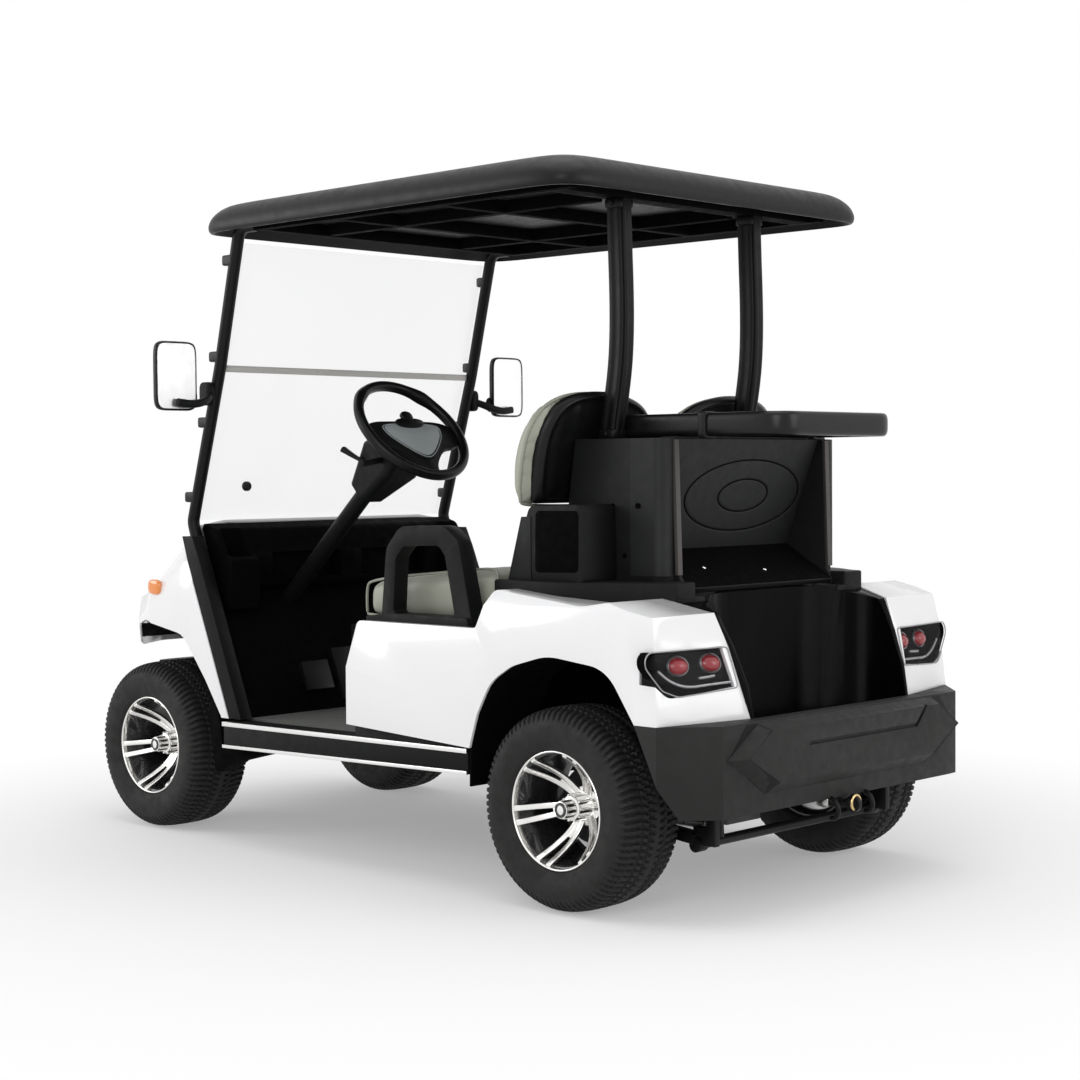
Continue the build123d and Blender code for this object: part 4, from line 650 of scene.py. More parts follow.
def plumped(pad, voxel, cap, low):
    """Evens the pad's mesh, swells it as air-filled cloth, and caps each point's travel.

    low is the height in metres that the pad rests on.
    """
    even = pad.modifiers.new("even", "REMESH")
    even.mode = "VOXEL"
    even.voxel_size = voxel
    pad.data = applied(pad)
    start = vertex_places(pad.data)
    air = pad.modifiers.new("air", "CLOTH")
    air.settings.use_pressure = True
    air.settings.uniform_pressure_force = AIR_PRESSURE
    air.settings.effector_weights.gravity = 0.0
    for step in range(1, AIR_FRAMES + 1):
        bpy.context.scene.frame_set(step)
    swollen = vertex_places(applied(pad))
    bpy.context.scene.frame_set(1)
    travel = swollen - start
    length = np.linalg.norm(travel, axis=1, keepdims=True)
    travel *= np.minimum(1, cap / np.maximum(length, 1e-9))
    end = start + travel
    end[:, 2] = np.maximum(end[:, 2], low)
    pad.data.vertices.foreach_set("co", end.ravel())
    pad.data.update()
    smooth = pad.modifiers.new("round", "SUBSURF")
    smooth.levels = smooth.render_levels = 1
    pad.data.shade_smooth()


def applied(thing):
    """A copy of the thing's mesh with its modifiers applied; the thing loses them."""
    bpy.context.view_layer.update()
    graph = bpy.context.evaluated_depsgraph_get()
    made = bpy.data.meshes.new_from_object(thing.evaluated_get(graph), depsgraph=graph)
    thing.modifiers.clear()
    return made


def vertex_places(mesh):
    """The mesh's points as an array."""
    flat = np.empty(len(mesh.vertices) * 3)
    mesh.vertices.foreach_get("co", flat)
    return flat.reshape(-1, 3)


def cord_ring(path, radius):
    """A round cord along a closed path, in mm."""
    return carried(np.asarray(path) * MM, squircle(2 * radius * MM, 2 * radius * MM, 2, 10),
                   up=(0.31, 0.17, 0.93), closed=True)


def piping_shapes():
    """Cords sewn round the ends of the bench and the rear edge of each seat back."""
    side = spaced(eased([(-470, 655), (2, 655), (7, 664), (7, 728), (-8, 746), (-160, 764),
                         (-300, 776), (-462, 792), (-478, 778)], 3, True), 160, True)
    parts = []
    for y in (-470, 470):
        parts.append(cord_ring(np.stack([side[:, 0], 0 * side[:, 0] + y, side[:, 1]], -1), 3.5))
    edge = spaced(eased(LOBE, 3, True), 160, True)
    middle = edge.mean(0)
    edge = lowered(middle + (edge - middle) * PIPING_SHARE)
    x = np.interp(edge[:, 1], LOBE_Z, LOBE_REAR) + 5
    for side_sign in (-1, 1):
        parts.append(cord_ring(np.stack([x, side_sign * edge[:, 0], edge[:, 1]], -1), 4))
    return parts


# ------------------------------------------------------------------ housing and bumper skins
def skin(points, back):
    """Closed thin sheet: a grid of points in mm, and the same grid moved by back."""
    front = np.asarray(points, float)
    rear = front + np.asarray(back, float)
    ring = np.concatenate([front, rear[:, ::-1]], 1)
    ends = [surface(np.stack([front[i], rear[i]]) * MM) for i in (0, -1)]
    return joined([surface(ring * MM, False, True)] + ends)


SLOPE_LOW, SLOPE_TOP = (-781.0, 835.0), (-884.0, 1107.0)
SHELF_REAR = (-925.0, 747.6)
OVAL_AT = (138.0, -43.0)
OVALS = ((94.0, 226.0), (43.0, 98.0))


def slope_skin():
    """Back panel of the basket: a flat sheet whose skin sinks along two ovals."""
    low, top = np.array(SLOPE_LOW), np.array(SLOPE_TOP)
    length = np.linalg.norm(top - low)
    along = (top - low) / length
    out = np.array([-along[1], along[0]])
    s, y = np.meshgrid(np.linspace(0, length - 4, 110),
                       np.linspace(-BASKET_HALF, BASKET_HALF, 230), indexing="ij")
    sink = 0 * s
    for tall, wide in OVALS:
        away = np.hypot((s - OVAL_AT[0]) / tall, (y - OVAL_AT[1]) / wide)
        sink += 2.2 * np.exp(-(((away - 1) * tall) / 2.0) ** 2)
    stand = 3.2 - sink
    x = low[0] + along[0] * s + out[0] * stand
    z = low[1] + along[1] * s + out[1] * stand
    return skin(np.stack([x, y, z], -1), (2.6, 0, 0))


def shelf_shade_skin():
    """Dark sheet on the basket's shelf, painted shade of its recess, with a shallow channel along
    its middle.
    """
    t, y = np.meshgrid(np.linspace(0.02, 0.985, 12),
                       np.linspace(-BASKET_HALF, BASKET_HALF, 60), indexing="ij")
    low, rear = np.array(SLOPE_LOW), np.array(SHELF_REAR)
    x = low[0] + (rear[0] - low[0]) * t
    z = low[1] + (rear[1] - low[1]) * t + 2.2 - 1.2 * np.exp(-((t - 0.5) / 0.1) ** 2)
    return skin(np.stack([x, y, z], -1), (0, 0, -1.8))


def wall(path, low, high, thick):
    """Upright sheet along a path (x, y) in mm, between two heights, with rounded long edges."""
    path = spaced(eased(path, 3), 60)
    side = normals(path)
    rows = [(0, low), (0.7, low), (1, low + 1.5), (1, high - 2), (0.7, high), (0, high)]
    out, z = np.array(rows).T
    flat = path[:, None] + side[:, None] * (out * thick)[None, :, None]
    ring = np.concatenate([flat, np.broadcast_to(z, flat.shape[:2])[..., None]], -1)
    return capped(ring * MM)


def housing_shapes():
    """Wrap moulding of each rear corner, and the lighter strip that faces each fin's sloped edge as
    a painted highlight.
    """
    wrap = wall([(-898.6, 303), (-898.6, 330), (-884.8, HOUSING_SIDE), (-860, HOUSING_SIDE),
                 (-815, HOUSING_SIDE), (-800, HOUSING_SIDE)], 778, 1103.5, -3.2)
    y, z = np.meshgrid(np.linspace(292, 308, 5), np.linspace(780, 1100, 12), indexing="ij")
    edge = skin(np.stack([-903 - 10 * (1100 - z) / 322, y, z], -1), (9.0, 0, 0))
    return wrap, edge


# Box behind each seat and the dark panel in its side, which is painted shade, (x, z); the housing's
# holes, all in mm.
SHOULDER = [(-524, 758), (-588, 945), (-755, 949), (-760, 758)]
NICHE_SHADE = [(-612, 933), (-751, 934), (-750, 788), (-610, 785)]
SHOULDER_SIDES, NICHE_SHADE_SIDES = (353, 478.5), (476, 479.8)
HOLES = [(-745, 350.6, 943), (-826, 353.8, 944), (-782, 350.6, 825)]


def upright(outline, y0, y1, reach, soft):
    """A slab of an outline (x, z) that stands between two values of y, in mm."""
    points, faces = plate_slab(cornered(outline, reach), y0, y1, soft, rounds=0)
    return points[:, [0, 2, 1]] * MM, faces


def shoulder_shade():
    """Dark panel let into the side of the box behind each seat, and dark cups with rims in the
    housing's holes: both are painted shade.
    """
    parts = [upright(NICHE_SHADE, *NICHE_SHADE_SIDES, 14, 1.2)]
    cup = turned(np.array([(0, 0.8), (3.4, 0.8), (4.2, 1.8), (6, 1.8), (6.8, 0), (6.8, -2),
                           (0, -2)]) * MM, 24)
    for x, y, z in HOLES:
        parts.append((cup[0] + np.array([x, y, z]) * MM, cup[1]))
    return joined(parts)


def oval_shade_cords():
    """Dark cords laid in the two oval grooves of the basket's back panel, as painted shade of the
    grooves.
    """
    low, top = np.array(SLOPE_LOW), np.array(SLOPE_TOP)
    along = (top - low) / np.linalg.norm(top - low)
    out = np.array([-along[1], along[0]])
    t = np.linspace(0, 2 * np.pi, 120, endpoint=False)
    parts = []
    for tall, wide in OVALS:
        flat = low + along * (OVAL_AT[0] + tall * np.cos(t))[:, None] + out * 1.9
        path = np.stack([flat[:, 0], OVAL_AT[1] + wide * np.sin(t), flat[:, 1]], -1)
        parts.append(cord_ring(path, 1.7))
    return joined(parts)


SHELF_BOLTS = [(-861, 150, 789.5), (-881, -65, 777.5)]
SHELF_OUT = (-0.519, 0, 0.855)


def shelf_bolts():
    """Two bright heads on the basket's shelf."""
    return bolt_heads(SHELF_BOLTS, SHELF_OUT, 5.5, 4)


# Painted shade of the deep groove round the bumper's raised middle: the dark band's stations of (y,
# z) at the face, foot and outside.
GROOVE_SHADE_BAND = [[(340, 442), (352, 456.5), (392, 456.5)], [(427, 386), (441, 383), (458, 383)],
        [(316, 322), (322, 294), (331, 294)]]


def bumper_groove_shade():
    """Dark band round each end of the bumper's raised middle, just proud of its slope: painted
    shade of the groove there.
    """
    places = np.array(GROOVE_SHADE_BAND, float)
    x = np.array([-1215.6, -1181.2, -1181.0])
    points = np.concatenate([np.broadcast_to(x[None, :, None], (3, 3, 1)), places], -1)
    t = np.linspace(0, 2, 13)
    points = np.stack([np.interp(t, (0, 1, 2), points[:, i, k]) for i in range(3)
                       for k in range(3)], -1).reshape(13, 3, 3)
    return skin(points, (2.0, 0, 0))


# ------------------------------------------------------------------ rack, mirrors, clips
# Left half of the rail's middle line, (x, y) in mm, its height and its section.
RAIL_HALF = [(-647, 217.3), (-1090, 217.3), (-1128, 210), (-1146, 190), (-1147, 150), (-1147, 0)]
RAIL_Z, RAIL_WIDE, RAIL_TALL = 1135.0, 34, 57
COLLAR = ((-940, 195, 1103), (-916, 239.5, 1167))
HOOK = [(-1178, 70, 252), (-1192, 70, 246), (-1202, 70, 224), (-1194, 70, 206), (-1178, 70, 204)]
DAMPER = [(-905, 300, 196), (-950, 300, 196), (-990, 300, 196)]
TOW_RING_X, TOW_RING_Z, TOW_RING_RADIUS = -1200, 236, 17


def rack_shape():
    """Rounded rail carried along a U: two straight arms and a bend at the rear."""
    run = np.array(RAIL_HALF + [(x, -y) for x, y in RAIL_HALF[-2::-1]], float)
    path = spaced(eased(run, 3), 120)
    path = np.concatenate([path, np.full((len(path), 1), RAIL_Z)], 1)
    return carried(path * MM, squircle(RAIL_WIDE * MM, RAIL_TALL * MM, 3.4, 44))


def tail_fittings():
    """Ring in the tow eye, a hook each side of it, and the bright rod of each rear damper."""
    t = np.linspace(0, 2 * np.pi, 48, endpoint=False)
    ring = cord_ring(np.stack([0 * t + TOW_RING_X, TOW_RING_RADIUS * np.sin(t),
                               TOW_RING_Z + TOW_RING_RADIUS * np.cos(t)], -1), 4)
    bend = spaced(eased(HOOK, 3), 24)
    hook = carried(bend * MM, squircle(12 * MM, 12 * MM, 2, 14), up=(0, 1, 0))
    rod = carried(np.array(DAMPER, float) * MM,
                  squircle(26 * MM, 26 * MM, 2, 28))
    return ring, hook, rod


def rounded_box(low, high, power=6.0, rings=9, count=40):
    """A block with soft edges: superellipse outlines stacked in z, sized by another one."""
    low, high = np.asarray(low, float), np.asarray(high, float)
    size, middle = high - low, (high + low) / 2
    t = np.linspace(-np.pi / 2, np.pi / 2, rings * 2 + 1)
    level = np.sign(np.sin(t)) * np.abs(np.sin(t)) ** (2 / power)
    width = np.abs(np.cos(t)) ** (2 / power)
    width[0] = width[-1] = 0
    outline = squircle(size[0], size[1], power, count)
    ring = outline[None] * width[:, None, None]
    z = np.broadcast_to(level[:, None] * size[2] / 2, ring.shape[:2])
    points = np.concatenate([ring, z[..., None]], -1) + middle
    return surface(points * MM, False, True)


def bolt_heads(places, along, radius=6.0, tall=4.0, sides=6):
    """Hexagonal heads with domed tops at places in mm, each along its own direction."""
    profile = [(0, tall), (radius * 0.7, tall), (radius, tall * 0.6), (radius, -1), (0, -1)]
    head = turned(np.array(profile) * MM, sides * 2)
    parts = []
    for place, way in zip(np.asarray(places, float), np.broadcast_to(along, (len(places), 3))):
        parts.append(aimed(head, way, place))
    return joined(parts)


def aimed(shape, way, place):
    """A shape built along +Y, turned so that +Y lies along way, and moved to place in mm."""
    turn = np.array(Vector((0, 1, 0)).rotation_difference(Vector(way)).to_matrix())
    return shape[0] @ turn.T + np.asarray(place) * MM, shape[1]


CLAMP_HEIGHTS = (1615, 1352, 1170, 960)
PANE_JOINT_Z = 1320.0
MIRROR_ARM_Z = 1248
MIRROR_ARM = [(592, 530, 1240), (572, 562, 1224), (567, 606, 1216), (574, 650, 1222)]


def post_at(z):
    """X of the front posts' middle at a height, in mm."""
    return float(np.interp(z, [318, 776, 890, 1320, 1703], [496, 687, 725, 592, 497]))


def clip_shapes():
    """Clamp blocks on the posts of both sides."""
    parts = []
    for z in CLAMP_HEIGHTS:
        x = post_at(z)
        parts.append(rounded_box((x - 8, 480, z - 15), (x + 40, 508, z + 15), 6, 6, 28))
    return mirrored(joined(parts))


def strip_shape():
    """Thin channel that joins the two panes."""
    x = post_at(PANE_JOINT_Z) + 8
    path = np.stack([np.full(30, x), np.linspace(-481, 481, 30), np.full(30, PANE_JOINT_Z)], -1)
    return carried(path * MM, squircle(9 * MM, 19 * MM, 5, 16), up=(0, 0, 1))


# Mirror's middle (y, z), and rows of (size share, x) for its housing and its glass, in mm.
MIRROR_AT = np.array([645, 1294])
MIRROR_SHELL = [(0.0, 606), (0.7, 606), (0.93, 603), (0.985, 598), (1.0, 590), (0.985, 583),
                (0.955, 580.5), (0.94, 582), (0.93, 586), (0.0, 586)]
MIRROR_GLASS = [(0.0, 583.5), (0.94, 583.5), (0.94, 587), (0.0, 587)]


def mirror_shapes():
    """Housing with a rolled rim, glass set in it, and a bent arm to the post: three shapes."""
    outline = squircle(136, 190, 7, 72)
    shells = []
    for rows in (MIRROR_SHELL, MIRROR_GLASS):
        share, x = np.array(rows).T
        ring = shrunk(outline, share, 0) + MIRROR_AT
        depth = np.broadcast_to(x[:, None], ring.shape[:2])
        shells.append(surface(np.concatenate([depth[..., None], ring], -1) * MM, False, True))
    path = spaced(eased([(post_at(MIRROR_ARM_Z), 508, MIRROR_ARM_Z), *MIRROR_ARM], 3), 30)
    arm = carried(path * MM, squircle(20 * MM, 22 * MM, 3, 20))
    grip = rounded_box((post_at(MIRROR_ARM_Z) - 20, 503, 1216),
                       (post_at(MIRROR_ARM_Z) + 28, 530, 1282), 4, 6, 28)
    knob = rounded_box((590, 566, 1214), (612, 612, 1262), 2.6, 8, 32)
    return *shells, joined([arm, grip, knob])


# ------------------------------------------------------------------ steering wheel
WHEEL_AT = np.array([100.0, 220.0, 1141.0])
WHEEL_AXES = np.array([(0, 1, 0), (-0.667833, 0, -0.744312), (-0.744312, 0, 0.667833)])


def tilted(shape):
    """A shape in the wheel's own mm axes (right, down, towards the driver), put in place."""
    return (shape[0] @ WHEEL_AXES + WHEEL_AT) * MM, shape[1]


def wheel_rim():
    """Ring whose section swells at two thumb grips, either side of its top."""
    t = np.linspace(0, 2 * np.pi, 180, endpoint=False)
    path = np.stack([165 * np.sin(t), -165 * np.cos(t), 0 * t], -1)
    from_top = np.abs((t + np.pi) % (2 * np.pi) - np.pi)
    sizes = 1 + 0.24 * np.exp(-((from_top - 0.72) / 0.17) ** 2)
    return carried(path, squircle(27, 29, 2.2, 24), up=(0, 0, 1), closed=True, sizes=sizes)


def plate_slab(outline, z0, z1, soft=3.0, rounds=3):
    """A flat slab of an outline (x, y) between two levels, its edges rounded by soft."""
    outline = spaced(eased(outline, rounds, True), 120, True)
    after = np.roll(outline, -1, 0)
    area = np.sum(outline[:, 0] * after[:, 1] - after[:, 0] * outline[:, 1])
    inward = normals(outline, True) * np.sign(area)
    rows = [(z1, None), (z1, 1.0), (z1 - 0.3 * soft, 0.3), (z1 - soft, 0.0), (z0 + soft, 0.0),
            (z0 + 0.3 * soft, 0.3), (z0, 1.0), (z0, None)]
    rings = []
    for z, pull in rows:
        flat = (np.broadcast_to(outline.mean(0), outline.shape) if pull is None
                else outline + inward * soft * pull)
        rings.append(np.concatenate([flat, np.full((len(flat), 1), float(z))], 1))
    return surface(np.stack(rings), False, True)


def wheel_body():
    """Boss, and the three-armed body that leaves a window each side of its foot."""
    boss = turned([(0, -8), (40, -8), (46, -14), (46, -57), (0, -57)], 48)
    boss = (boss[0][:, [0, 2, 1]], boss[1])
    arms = plate_slab([(-160, -34), (0, -38), (160, -34), (156, 40), (134, 58), (84, 64),
                       (17, 126), (16, 162), (-16, 162), (-17, 126), (-84, 64), (-134, 58),
                       (-156, 40)], -20, -3)
    frame = plate_slab([(-110, -26), (0, -31), (110, -26), (112, 8), (92, 42), (24, 106),
                        (-24, 106), (-92, 42), (-112, 8)], -8, 1)
    return joined([boss, arms, frame])


PLATE = [(-97, -17), (0, -21), (97, -17), (98, 6), (80, 36), (18, 94), (-18, 94), (-80, 36),
         (-98, 6)]


def wheel_plate():
    """Clip plate: a shield that narrows towards the foot, with a thin bead round it."""
    bead = spaced(eased(np.array(PLATE) * 1.06, 3, True), 120, True)
    bead = np.concatenate([bead, np.full((len(bead), 1), 1.6)], 1)
    return joined([plate_slab(PLATE, 0, 4, 1.5),
                   carried(bead, squircle(3, 3, 2, 10), up=(0, 0, 1), closed=True)])


def wheel_clip():
    """Sprung clip at the plate's top edge, with its lever."""
    return joined([plate_slab([(-54, -36), (54, -36), (46, -4), (-46, -4)], 1, 11, 2.5),
                   plate_slab([(-20, -58), (20, -58), (17, -24), (-17, -24)], 2, 15, 3)])


STALK = [(222, 280, 1055), (250, 288, 1066), (293, 300, 1091)]
PANE_KNOB = (696, 323, 989)


def lever_and_knob():
    """Paddle of the column's stalk, and the knob that locks the lower pane."""
    run = spaced(eased(STALK, 2), 24)
    swell = 0.6 + 0.4 * np.linspace(0, 1, 24) ** 2
    paddle = carried(run * MM, squircle(24 * MM, 17 * MM, 3, 20), sizes=swell)
    knob = bolt_heads([PANE_KNOB], (-1, 0, 0), 14, 14, 12)
    return joined([paddle, knob])


# ------------------------------------------------------------------ tail lamps
def lamp_face(y, z, inward):
    """A point of the left rear corner's flat face, moved ahead by inward, in mm."""
    share = (z - 460) / 161
    x_out, y_out = -1077 + 12 * share, 585 - 11 * share
    x_in, y_in = -1135 + 48 * share, 322 + 28 * share
    along = (y - y_in) / (y_out - y_in)
    y, z = np.broadcast_arrays(y, z)
    return np.stack([x_in + (x_out - x_in) * along + inward, y, z], -1)


# Outline of the lamp's cover on the corner's face and the domes' middles, (y, z) in mm; rows of
# the bowl as (size share, how far it stands out); the front wing's marker as two corners.
LAMP_EDGE = [(605, 592), (605, 612), (592, 625), (345, 624), (338, 532), (516, 522), (560, 538)]
WING_MARKER = ((822, 526, 680), (878, 545, 724))
LAMP_BOWL = [(0, -24), (0.8, -23), (0.93, -14), (0.985, -3), (0.985, -26), (0, -26)]
LAMP_PLACES = ((487, 588), (387, 589))


def lamp_ring(y, z, wide, tall, rows, count=48):
    """Ellipses about (y, z) on the corner's face: rows of (size share, how far it stands out)."""
    t = np.linspace(0, 2 * np.pi, count, endpoint=False)
    share, out = np.asarray(rows, float).T
    yy = y + wide * share[:, None] * np.cos(t)
    zz = z + tall * share[:, None] * np.sin(t)
    return surface(lamp_face(yy, zz, -out[:, None]) * MM, False, True)


def lamp_shapes():
    """Dark bowl, silver trims and red domes behind the clear cover."""
    edge = spaced(cornered(LAMP_EDGE, 9), 140, True)
    middle = edge.mean(0)
    share, out = np.array(LAMP_BOWL).T
    ring = shrunk(edge, share, middle)
    back = surface(lamp_face(ring[..., 0], ring[..., 1], -out[:, None]) * MM, False, True)
    rim = cord_ring(lamp_face(edge[:, 0], edge[:, 1], -0.5), 1.6)
    domes, bright = [], [rim]
    for y, z in LAMP_PLACES:
        domes.append(lamp_ring(y, z, 27, 19, [(0, -3), (0.4, -4.5), (0.75, -9), (0.95, -15),
                                              (1, -20), (1, -24), (0, -24)]))
        bright.append(lamp_ring(y, z, 32, 23, [(0.88, -22), (0.9, -18), (0.96, -17), (1, -19),
                                               (1, -23), (0.88, -23)]))
    for run in ([(345, 545), (420, 543), (482, 540), (530, 556), (562, 582)],
                [(396, 562), (420, 560), (444, 559)]):
        line = spaced(eased(run, 2), 30)
        bright.append(carried(lamp_face(line[:, 0], line[:, 1], 6) * MM,
                              squircle(6 * MM, 5 * MM, 3, 10), up=(1, 0, 0)))
    return back, joined(bright), joined(domes)


# ------------------------------------------------------------------ properties
class CartSizes(bpy.types.PropertyGroup):
    """Sizes and colours that a user may change before building."""

    panel_colour: bpy.props.FloatVectorProperty(
        name="Panels", description="Colour of the white body panels", subtype="COLOR",
        default=(0.82, 0.82, 0.83), min=0, max=1)
    plastic_colour: bpy.props.FloatVectorProperty(
        name="Black mouldings", description="Colour of the black plastic", subtype="COLOR",
        default=(0.0062, 0.0064, 0.0068), min=0, max=1)
    vinyl_colour: bpy.props.FloatVectorProperty(
        name="Seats", description="Colour of the seat vinyl", subtype="COLOR",
        default=(0.33, 0.335, 0.275), min=0, max=1)
    tread_pitches: bpy.props.IntProperty(
        name="Tread pitches", description="Tread blocks round each tyre", default=84, min=20)
    tread_depth: bpy.props.FloatProperty(
        name="Tread depth", description="Depth of the grooves in millimetres", default=6.5)


class CartOperator:
    """What every builder shares: the cart's settings."""

    bl_options = {"REGISTER", "UNDO"}

    @property
    def size(self):
        return bpy.context.scene.cart_sizes


class CART_OT_stage(CartOperator, bpy.types.Operator):
    """Camera, lamps, floor and pale surroundings"""

    bl_idname = "cart.stage"
    bl_label = "Stage"

    def execute(self, context):
        make_camera()
        make_lamps()
        make_floor()
        return {"FINISHED"}


class CART_OT_finishes(CartOperator, bpy.types.Operator):
    """Finishes on the solid parts, with softened edges"""

    bl_idname = "cart.finishes"
    bl_label = "Finishes"

    def execute(self, context):
        make_finishes(self.size)
        for name, (look, rounding) in CAD_FINISH.items():
            dress_node(name, look, rounding)
        return {"FINISHED"}


class CART_OT_wheels(CartOperator, bpy.types.Operator):
    """Treaded tyres and machined wheels"""

    bl_idname = "cart.wheels"
    bl_label = "Wheels"

    def execute(self, context):
        tyre = tread_tyre(self.size.tread_pitches, self.size.tread_depth)
        bright, dark = wheel_bright(), wheel_dark()
        for end, x, y in (("front", FRONT_X, FRONT_HALF_TRACK),
                          ("rear", REAR_X, REAR_HALF_TRACK)):
            for side, sign in SIDES:
                body = f"wheel_{end}_{side}"
                piece(f"tread_{end}_{side}", placed_wheel(tyre, x, y, sign), "rubber",
                      [f"tyre_{end}_{side}"], body)
                piece(f"spokes_{end}_{side}", placed_wheel(bright, x, y, sign),
                      f"machined_{end}", [f"rim_{end}_{side}"], body)
                piece(f"barrel_{end}_{side}", placed_wheel(dark, x, y, sign), "rim_black",
                      body=body)
        return {"FINISHED"}


class CART_OT_canopy(CartOperator, bpy.types.Operator):
    """Canopy shell and its fluted rear struts"""

    bl_idname = "cart.canopy"
    bl_label = "Canopy"

    def execute(self, context):
        piece("canopy", canopy_shape(), "canopy", replaces=["roof"])
        path = spaced(eased(np.array(STRUT_PATH, float), 2), 40)
        path = np.insert(path, 1, STRUT_Y, axis=1) * MM
        strut = carried(path, fluted(44 * MM, 60 * MM, 8, 0.12), up=(1, 0, 0))
        piece("struts", mirrored(strut), "powder", ["rear_struts"])
        piece("canopy_lining", canopy_lining(), "basket")
        piece("strut_brackets", mirrored(strut_brackets()), "powder")
        return {"FINISHED"}


class CART_OT_seats(CartOperator, bpy.types.Operator):
    """Padded bench and seat backs, their piping and the ribbed shells behind"""

    bl_idname = "cart.seats"
    bl_label = "Seats"

    def execute(self, context):
        bench = piece("bench_cushion", bench_shape(), "vinyl", ["seat_cushion"],
                      "seat")
        plumped(bench, *BENCH_AIR)
        for side, sign in SIDES:
            back = piece(f"back_cushion_{side}", lobe_shape(sign), "vinyl",
                         ["seat_back_cushions"])
            plumped(back, *BACK_AIR)
            piece(f"back_shell_{side}", shell_shape(sign), "satin",
                  replaces=["seat_back_shells"])
        cords = piping_shapes()
        piece("bench_piping", joined(cords[:2]), "piping", body="seat")
        piece("back_piping", joined(cords[2:]), "piping")
        return {"FINISHED"}


class CART_OT_rack(CartOperator, bpy.types.Operator):
    """Rounded rail over the bag well"""

    bl_idname = "cart.rack"
    bl_label = "Bag rail"

    def execute(self, context):
        piece("basket_back", slope_skin(), "basket")
        # The shelf sheet's dark colour is painted shade of the recess under the basket's back
        # panel.
        piece("basket_shelf_shade", shelf_shade_skin(), "groove")
        # The oval cords' dark colour is painted shade of the oval grooves.
        piece("basket_oval_shades", oval_shade_cords(), "groove")
        piece("shelf_bolts", shelf_bolts(), "chrome")
        wrap, edge = housing_shapes()
        piece("housing_wraps", mirrored(wrap), "basket")
        # The fin strips' lighter colour is a painted highlight of the fins' rear edges.
        piece("fin_edge_highlights", mirrored(edge), "edge")
        piece("shoulder_boxes", mirrored(upright(SHOULDER, *SHOULDER_SIDES, 16, 5)), "plastic")
        # The dark panels and hole cups are painted shade.
        piece("shoulder_shades", mirrored(shoulder_shade()), "groove")
        # The dark bands are painted shade of the groove round the bumper's raised middle.
        piece("bumper_groove_shades", mirrored(bumper_groove_shade()), "grain")
        piece("bag_rail", rack_shape(), "rail", replaces=["bag_rack"], smooth=70)
        piece("rail_collars", mirrored(rounded_box(*COLLAR, 9, 8, 44)), "satin")
        ring, hook, damper = tail_fittings()
        piece("tow_ring", ring, "brass")
        piece("tail_hooks", mirrored(hook), "powder")
        piece("damper_rods", mirrored(damper), "bright")
        return {"FINISHED"}


class CART_OT_mirrors(CartOperator, bpy.types.Operator):
    """Door mirrors, pane clamps and the channel between the panes"""

    bl_idname = "cart.mirrors"
    bl_label = "Mirrors"

    def execute(self, context):
        housing, glass, arm = mirror_shapes()
        piece("mirror_housings", mirrored(housing), "satin", ["mirrors"])
        piece("mirror_faces", mirrored(glass), "mirror")
        piece("mirror_arms", mirrored(arm), "plastic")
        piece("pane_strip", strip_shape(), "strip")
        piece("pane_clamps", clip_shapes(), "satin", replaces=["windshield_fittings"])
        return {"FINISHED"}


class CART_OT_steering(CartOperator, bpy.types.Operator):
    """Steering wheel with its grips and clip plate"""

    bl_idname = "cart.steering"
    bl_label = "Steering wheel"

    def execute(self, context):
        for name, shape, look, stood_for in (
                ("wheel_ring", wheel_rim(), "satin", ["steering_wheel"]),
                ("wheel_spokes", wheel_body(), "plastic", ()),
                ("wheel_plate", wheel_plate(), "plate", ()),
                ("wheel_clip", wheel_clip(), "satin", ())):
            piece(name, tilted(shape), look, replaces=stood_for, body="steering_wheel")
        piece("stalk_and_knob", lever_and_knob(), "satin")
        return {"FINISHED"}


class CART_OT_lamps(CartOperator, bpy.types.Operator):
    """Tail lamps behind their clear covers"""

    bl_idname = "cart.lamps"
    bl_label = "Lamps"

    def execute(self, context):
        back, bright, red = lamp_shapes()
        piece("lamp_bowls", mirrored(back), "groove")
        piece("lamp_bezels", mirrored(bright), "bezel")
        piece("lamp_lenses", mirrored(red), "red")
        piece("wing_markers", mirrored(rounded_box(*WING_MARKER, 3, 8, 36)), "amber")
        return {"FINISHED"}


class CART_PT_panel(bpy.types.Panel):
    """Builders of the cart, in the order they run"""

    bl_label = "Golf Cart"
    bl_idname = "CART_PT_panel"
    bl_space_type = "VIEW_3D"
    bl_region_type = "UI"
    bl_category = "Golf Cart"

    def draw(self, context):
        for name in CartSizes.__annotations__:
            self.layout.prop(context.scene.cart_sizes, name)
        for builder in BUILDERS:
            self.layout.operator(builder.bl_idname)


# ------------------------------------------------------------------ stage
# Camera's place, its yaw, pitch and roll in degrees, and its lens and sensor in mm.
CAMERA_AT = (-3.9767, 3.99, 1.0321)
CAMERA_TURN = (-46.343, -1.994, -0.403)
CAMERA_LENS, CAMERA_SENSOR = 67.75, 36.0


def make_camera():
    """Camera behind the driver's side, 4 m off the cart's middle, looking slightly down."""
    data = bpy.data.cameras.new("camera")
    data.lens, data.sensor_width = CAMERA_LENS, CAMERA_SENSOR
    camera = bpy.data.objects.new("camera", data)
    yaw, pitch, roll = np.radians(CAMERA_TURN)
    ahead = Vector((np.cos(pitch) * np.cos(yaw), np.cos(pitch) * np.sin(yaw), np.sin(pitch)))
    right = ahead.cross(Vector((0, 0, 1))).normalized()
    above = right.cross(ahead)
    across = right * np.cos(roll) + above * np.sin(roll)
    top = above * np.cos(roll) - right * np.sin(roll)
    camera.matrix_world = Matrix.Translation(CAMERA_AT) @ Matrix(
        (across, top, -ahead)).transposed().to_4x4()
    bpy.context.scene.collection.objects.link(camera)
    bpy.context.scene.camera = camera


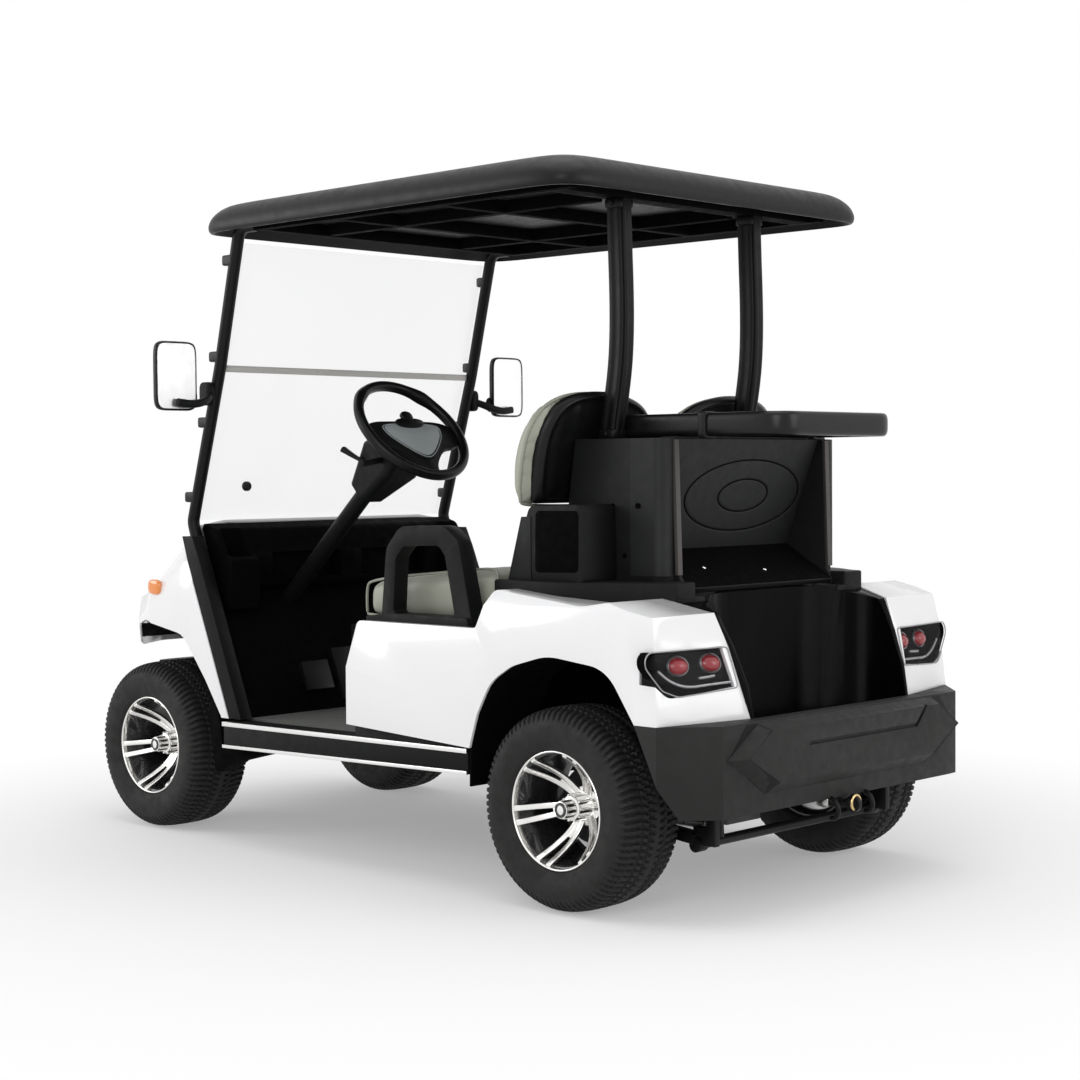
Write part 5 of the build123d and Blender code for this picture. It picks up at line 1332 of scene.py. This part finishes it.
# Soft lamps: name, place, size, watts.
LAMPS = [
    ("overhead", (-0.6, 0.4, 4.2), 4.0, 60.0),
    ("key", (-3.4, 5.2, 2.6), 3.2, 85.0),
    ("rear_fill", (-5.2, -1.6, 2.2), 3.0, 50.0),
    ("front_fill", (4.0, 3.6, 2.4), 3.0, 70.0),
]


def make_lamps():
    """Area lamps that face the cart's middle, and an even pale sky."""
    for name, place, size, watts in LAMPS:
        data = bpy.data.lights.new(name, "AREA")
        data.shape = "DISK"
        data.size = size
        data.energy = watts
        lamp = bpy.data.objects.new(name, data)
        aim = Vector((0, 0, 0.8)) - Vector(place)
        turn = aim.to_track_quat("-Z", "Y").to_matrix().to_4x4()
        lamp.matrix_world = Matrix.Translation(place) @ turn
        bpy.context.scene.collection.objects.link(lamp)
    world = bpy.data.worlds.new("pale_sky")
    bpy.context.scene.world = world
    world.use_nodes = True
    tree = world.node_tree
    tree.nodes.clear()
    rays = tree.nodes.new("ShaderNodeLightPath")
    seen = node(tree, "ShaderNodeMath", {"operation": "MAXIMUM"})
    tree.links.new(rays.outputs["Is Camera Ray"], seen.inputs[0])
    tree.links.new(rays.outputs["Is Transmission Ray"], seen.inputs[1])
    both = node(tree, "ShaderNodeMath", {"operation": "MAXIMUM"})
    tree.links.new(seen.outputs[0], both.inputs[0])
    tree.links.new(rays.outputs["Is Glossy Ray"], both.inputs[1])
    level = node(tree, "ShaderNodeMapRange", Value=both.outputs[0], To_Min=0.5, To_Max=1.0)
    sky = node(tree, "ShaderNodeBackground", Color=(1, 1, 1, 1), Strength=level.outputs[0])
    out = tree.nodes.new("ShaderNodeOutputWorld")
    tree.links.new(sky.outputs[0], out.inputs["Surface"])
    bpy.context.scene.view_settings.view_transform = "Standard"


def make_floor():
    """Pale floor disc: it takes shadow near the cart and fades to plain white far off."""
    shape = turned(np.array([(0, 0), (3, 0), (9, 0), (40, 0)], float), 96)
    flat = closed_mesh("floor", (shape[0][:, [0, 2, 1]], shape[1]))
    floor = bpy.data.objects.new("floor", flat)
    bpy.context.scene.collection.objects.link(floor)
    look = bpy.data.materials.new("pale_floor")
    look.use_nodes = True
    tree = look.node_tree
    tree.nodes.clear()
    coords = tree.nodes.new("ShaderNodeTexCoord").outputs["Object"]
    away = node(tree, "ShaderNodeVectorMath", {"operation": "LENGTH"})
    tree.links.new(coords, away.inputs[0])
    fade = node(tree, "ShaderNodeMapRange", {"interpolation_type": "SMOOTHSTEP"},
                Value=away.outputs["Value"], From_Min=0.8, From_Max=2.6, To_Min=0.3)
    matt = node(tree, "ShaderNodeBsdfDiffuse", Color=(0.9, 0.9, 0.9, 1))
    white = node(tree, "ShaderNodeEmission", Color=(1, 1, 1, 1), Strength=1.0)
    mix = tree.nodes.new("ShaderNodeMixShader")
    tree.links.new(fade.outputs[0], mix.inputs[0])
    tree.links.new(matt.outputs[0], mix.inputs[1])
    tree.links.new(white.outputs[0], mix.inputs[2])
    out = tree.nodes.new("ShaderNodeOutputMaterial")
    tree.links.new(mix.outputs[0], out.inputs["Surface"])
    floor.data.materials.append(look)


BUILDERS = [CART_OT_stage, CART_OT_finishes, CART_OT_wheels, CART_OT_canopy, CART_OT_seats,
            CART_OT_rack, CART_OT_mirrors, CART_OT_steering, CART_OT_lamps]
CLASSES = [CartSizes, *BUILDERS, CART_PT_panel]


def register():
    for made in CLASSES:
        bpy.utils.register_class(made)
    bpy.types.Scene.cart_sizes = bpy.props.PointerProperty(type=CartSizes)


def unregister():
    del bpy.types.Scene.cart_sizes
    for made in reversed(CLASSES):
        bpy.utils.unregister_class(made)


def main():
    """Registers the add-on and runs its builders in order."""
    register()
    for builder in BUILDERS:
        group, name = builder.bl_idname.split(".")
        getattr(getattr(bpy.ops, group), name)()


if __name__ == "__main__":
    main()
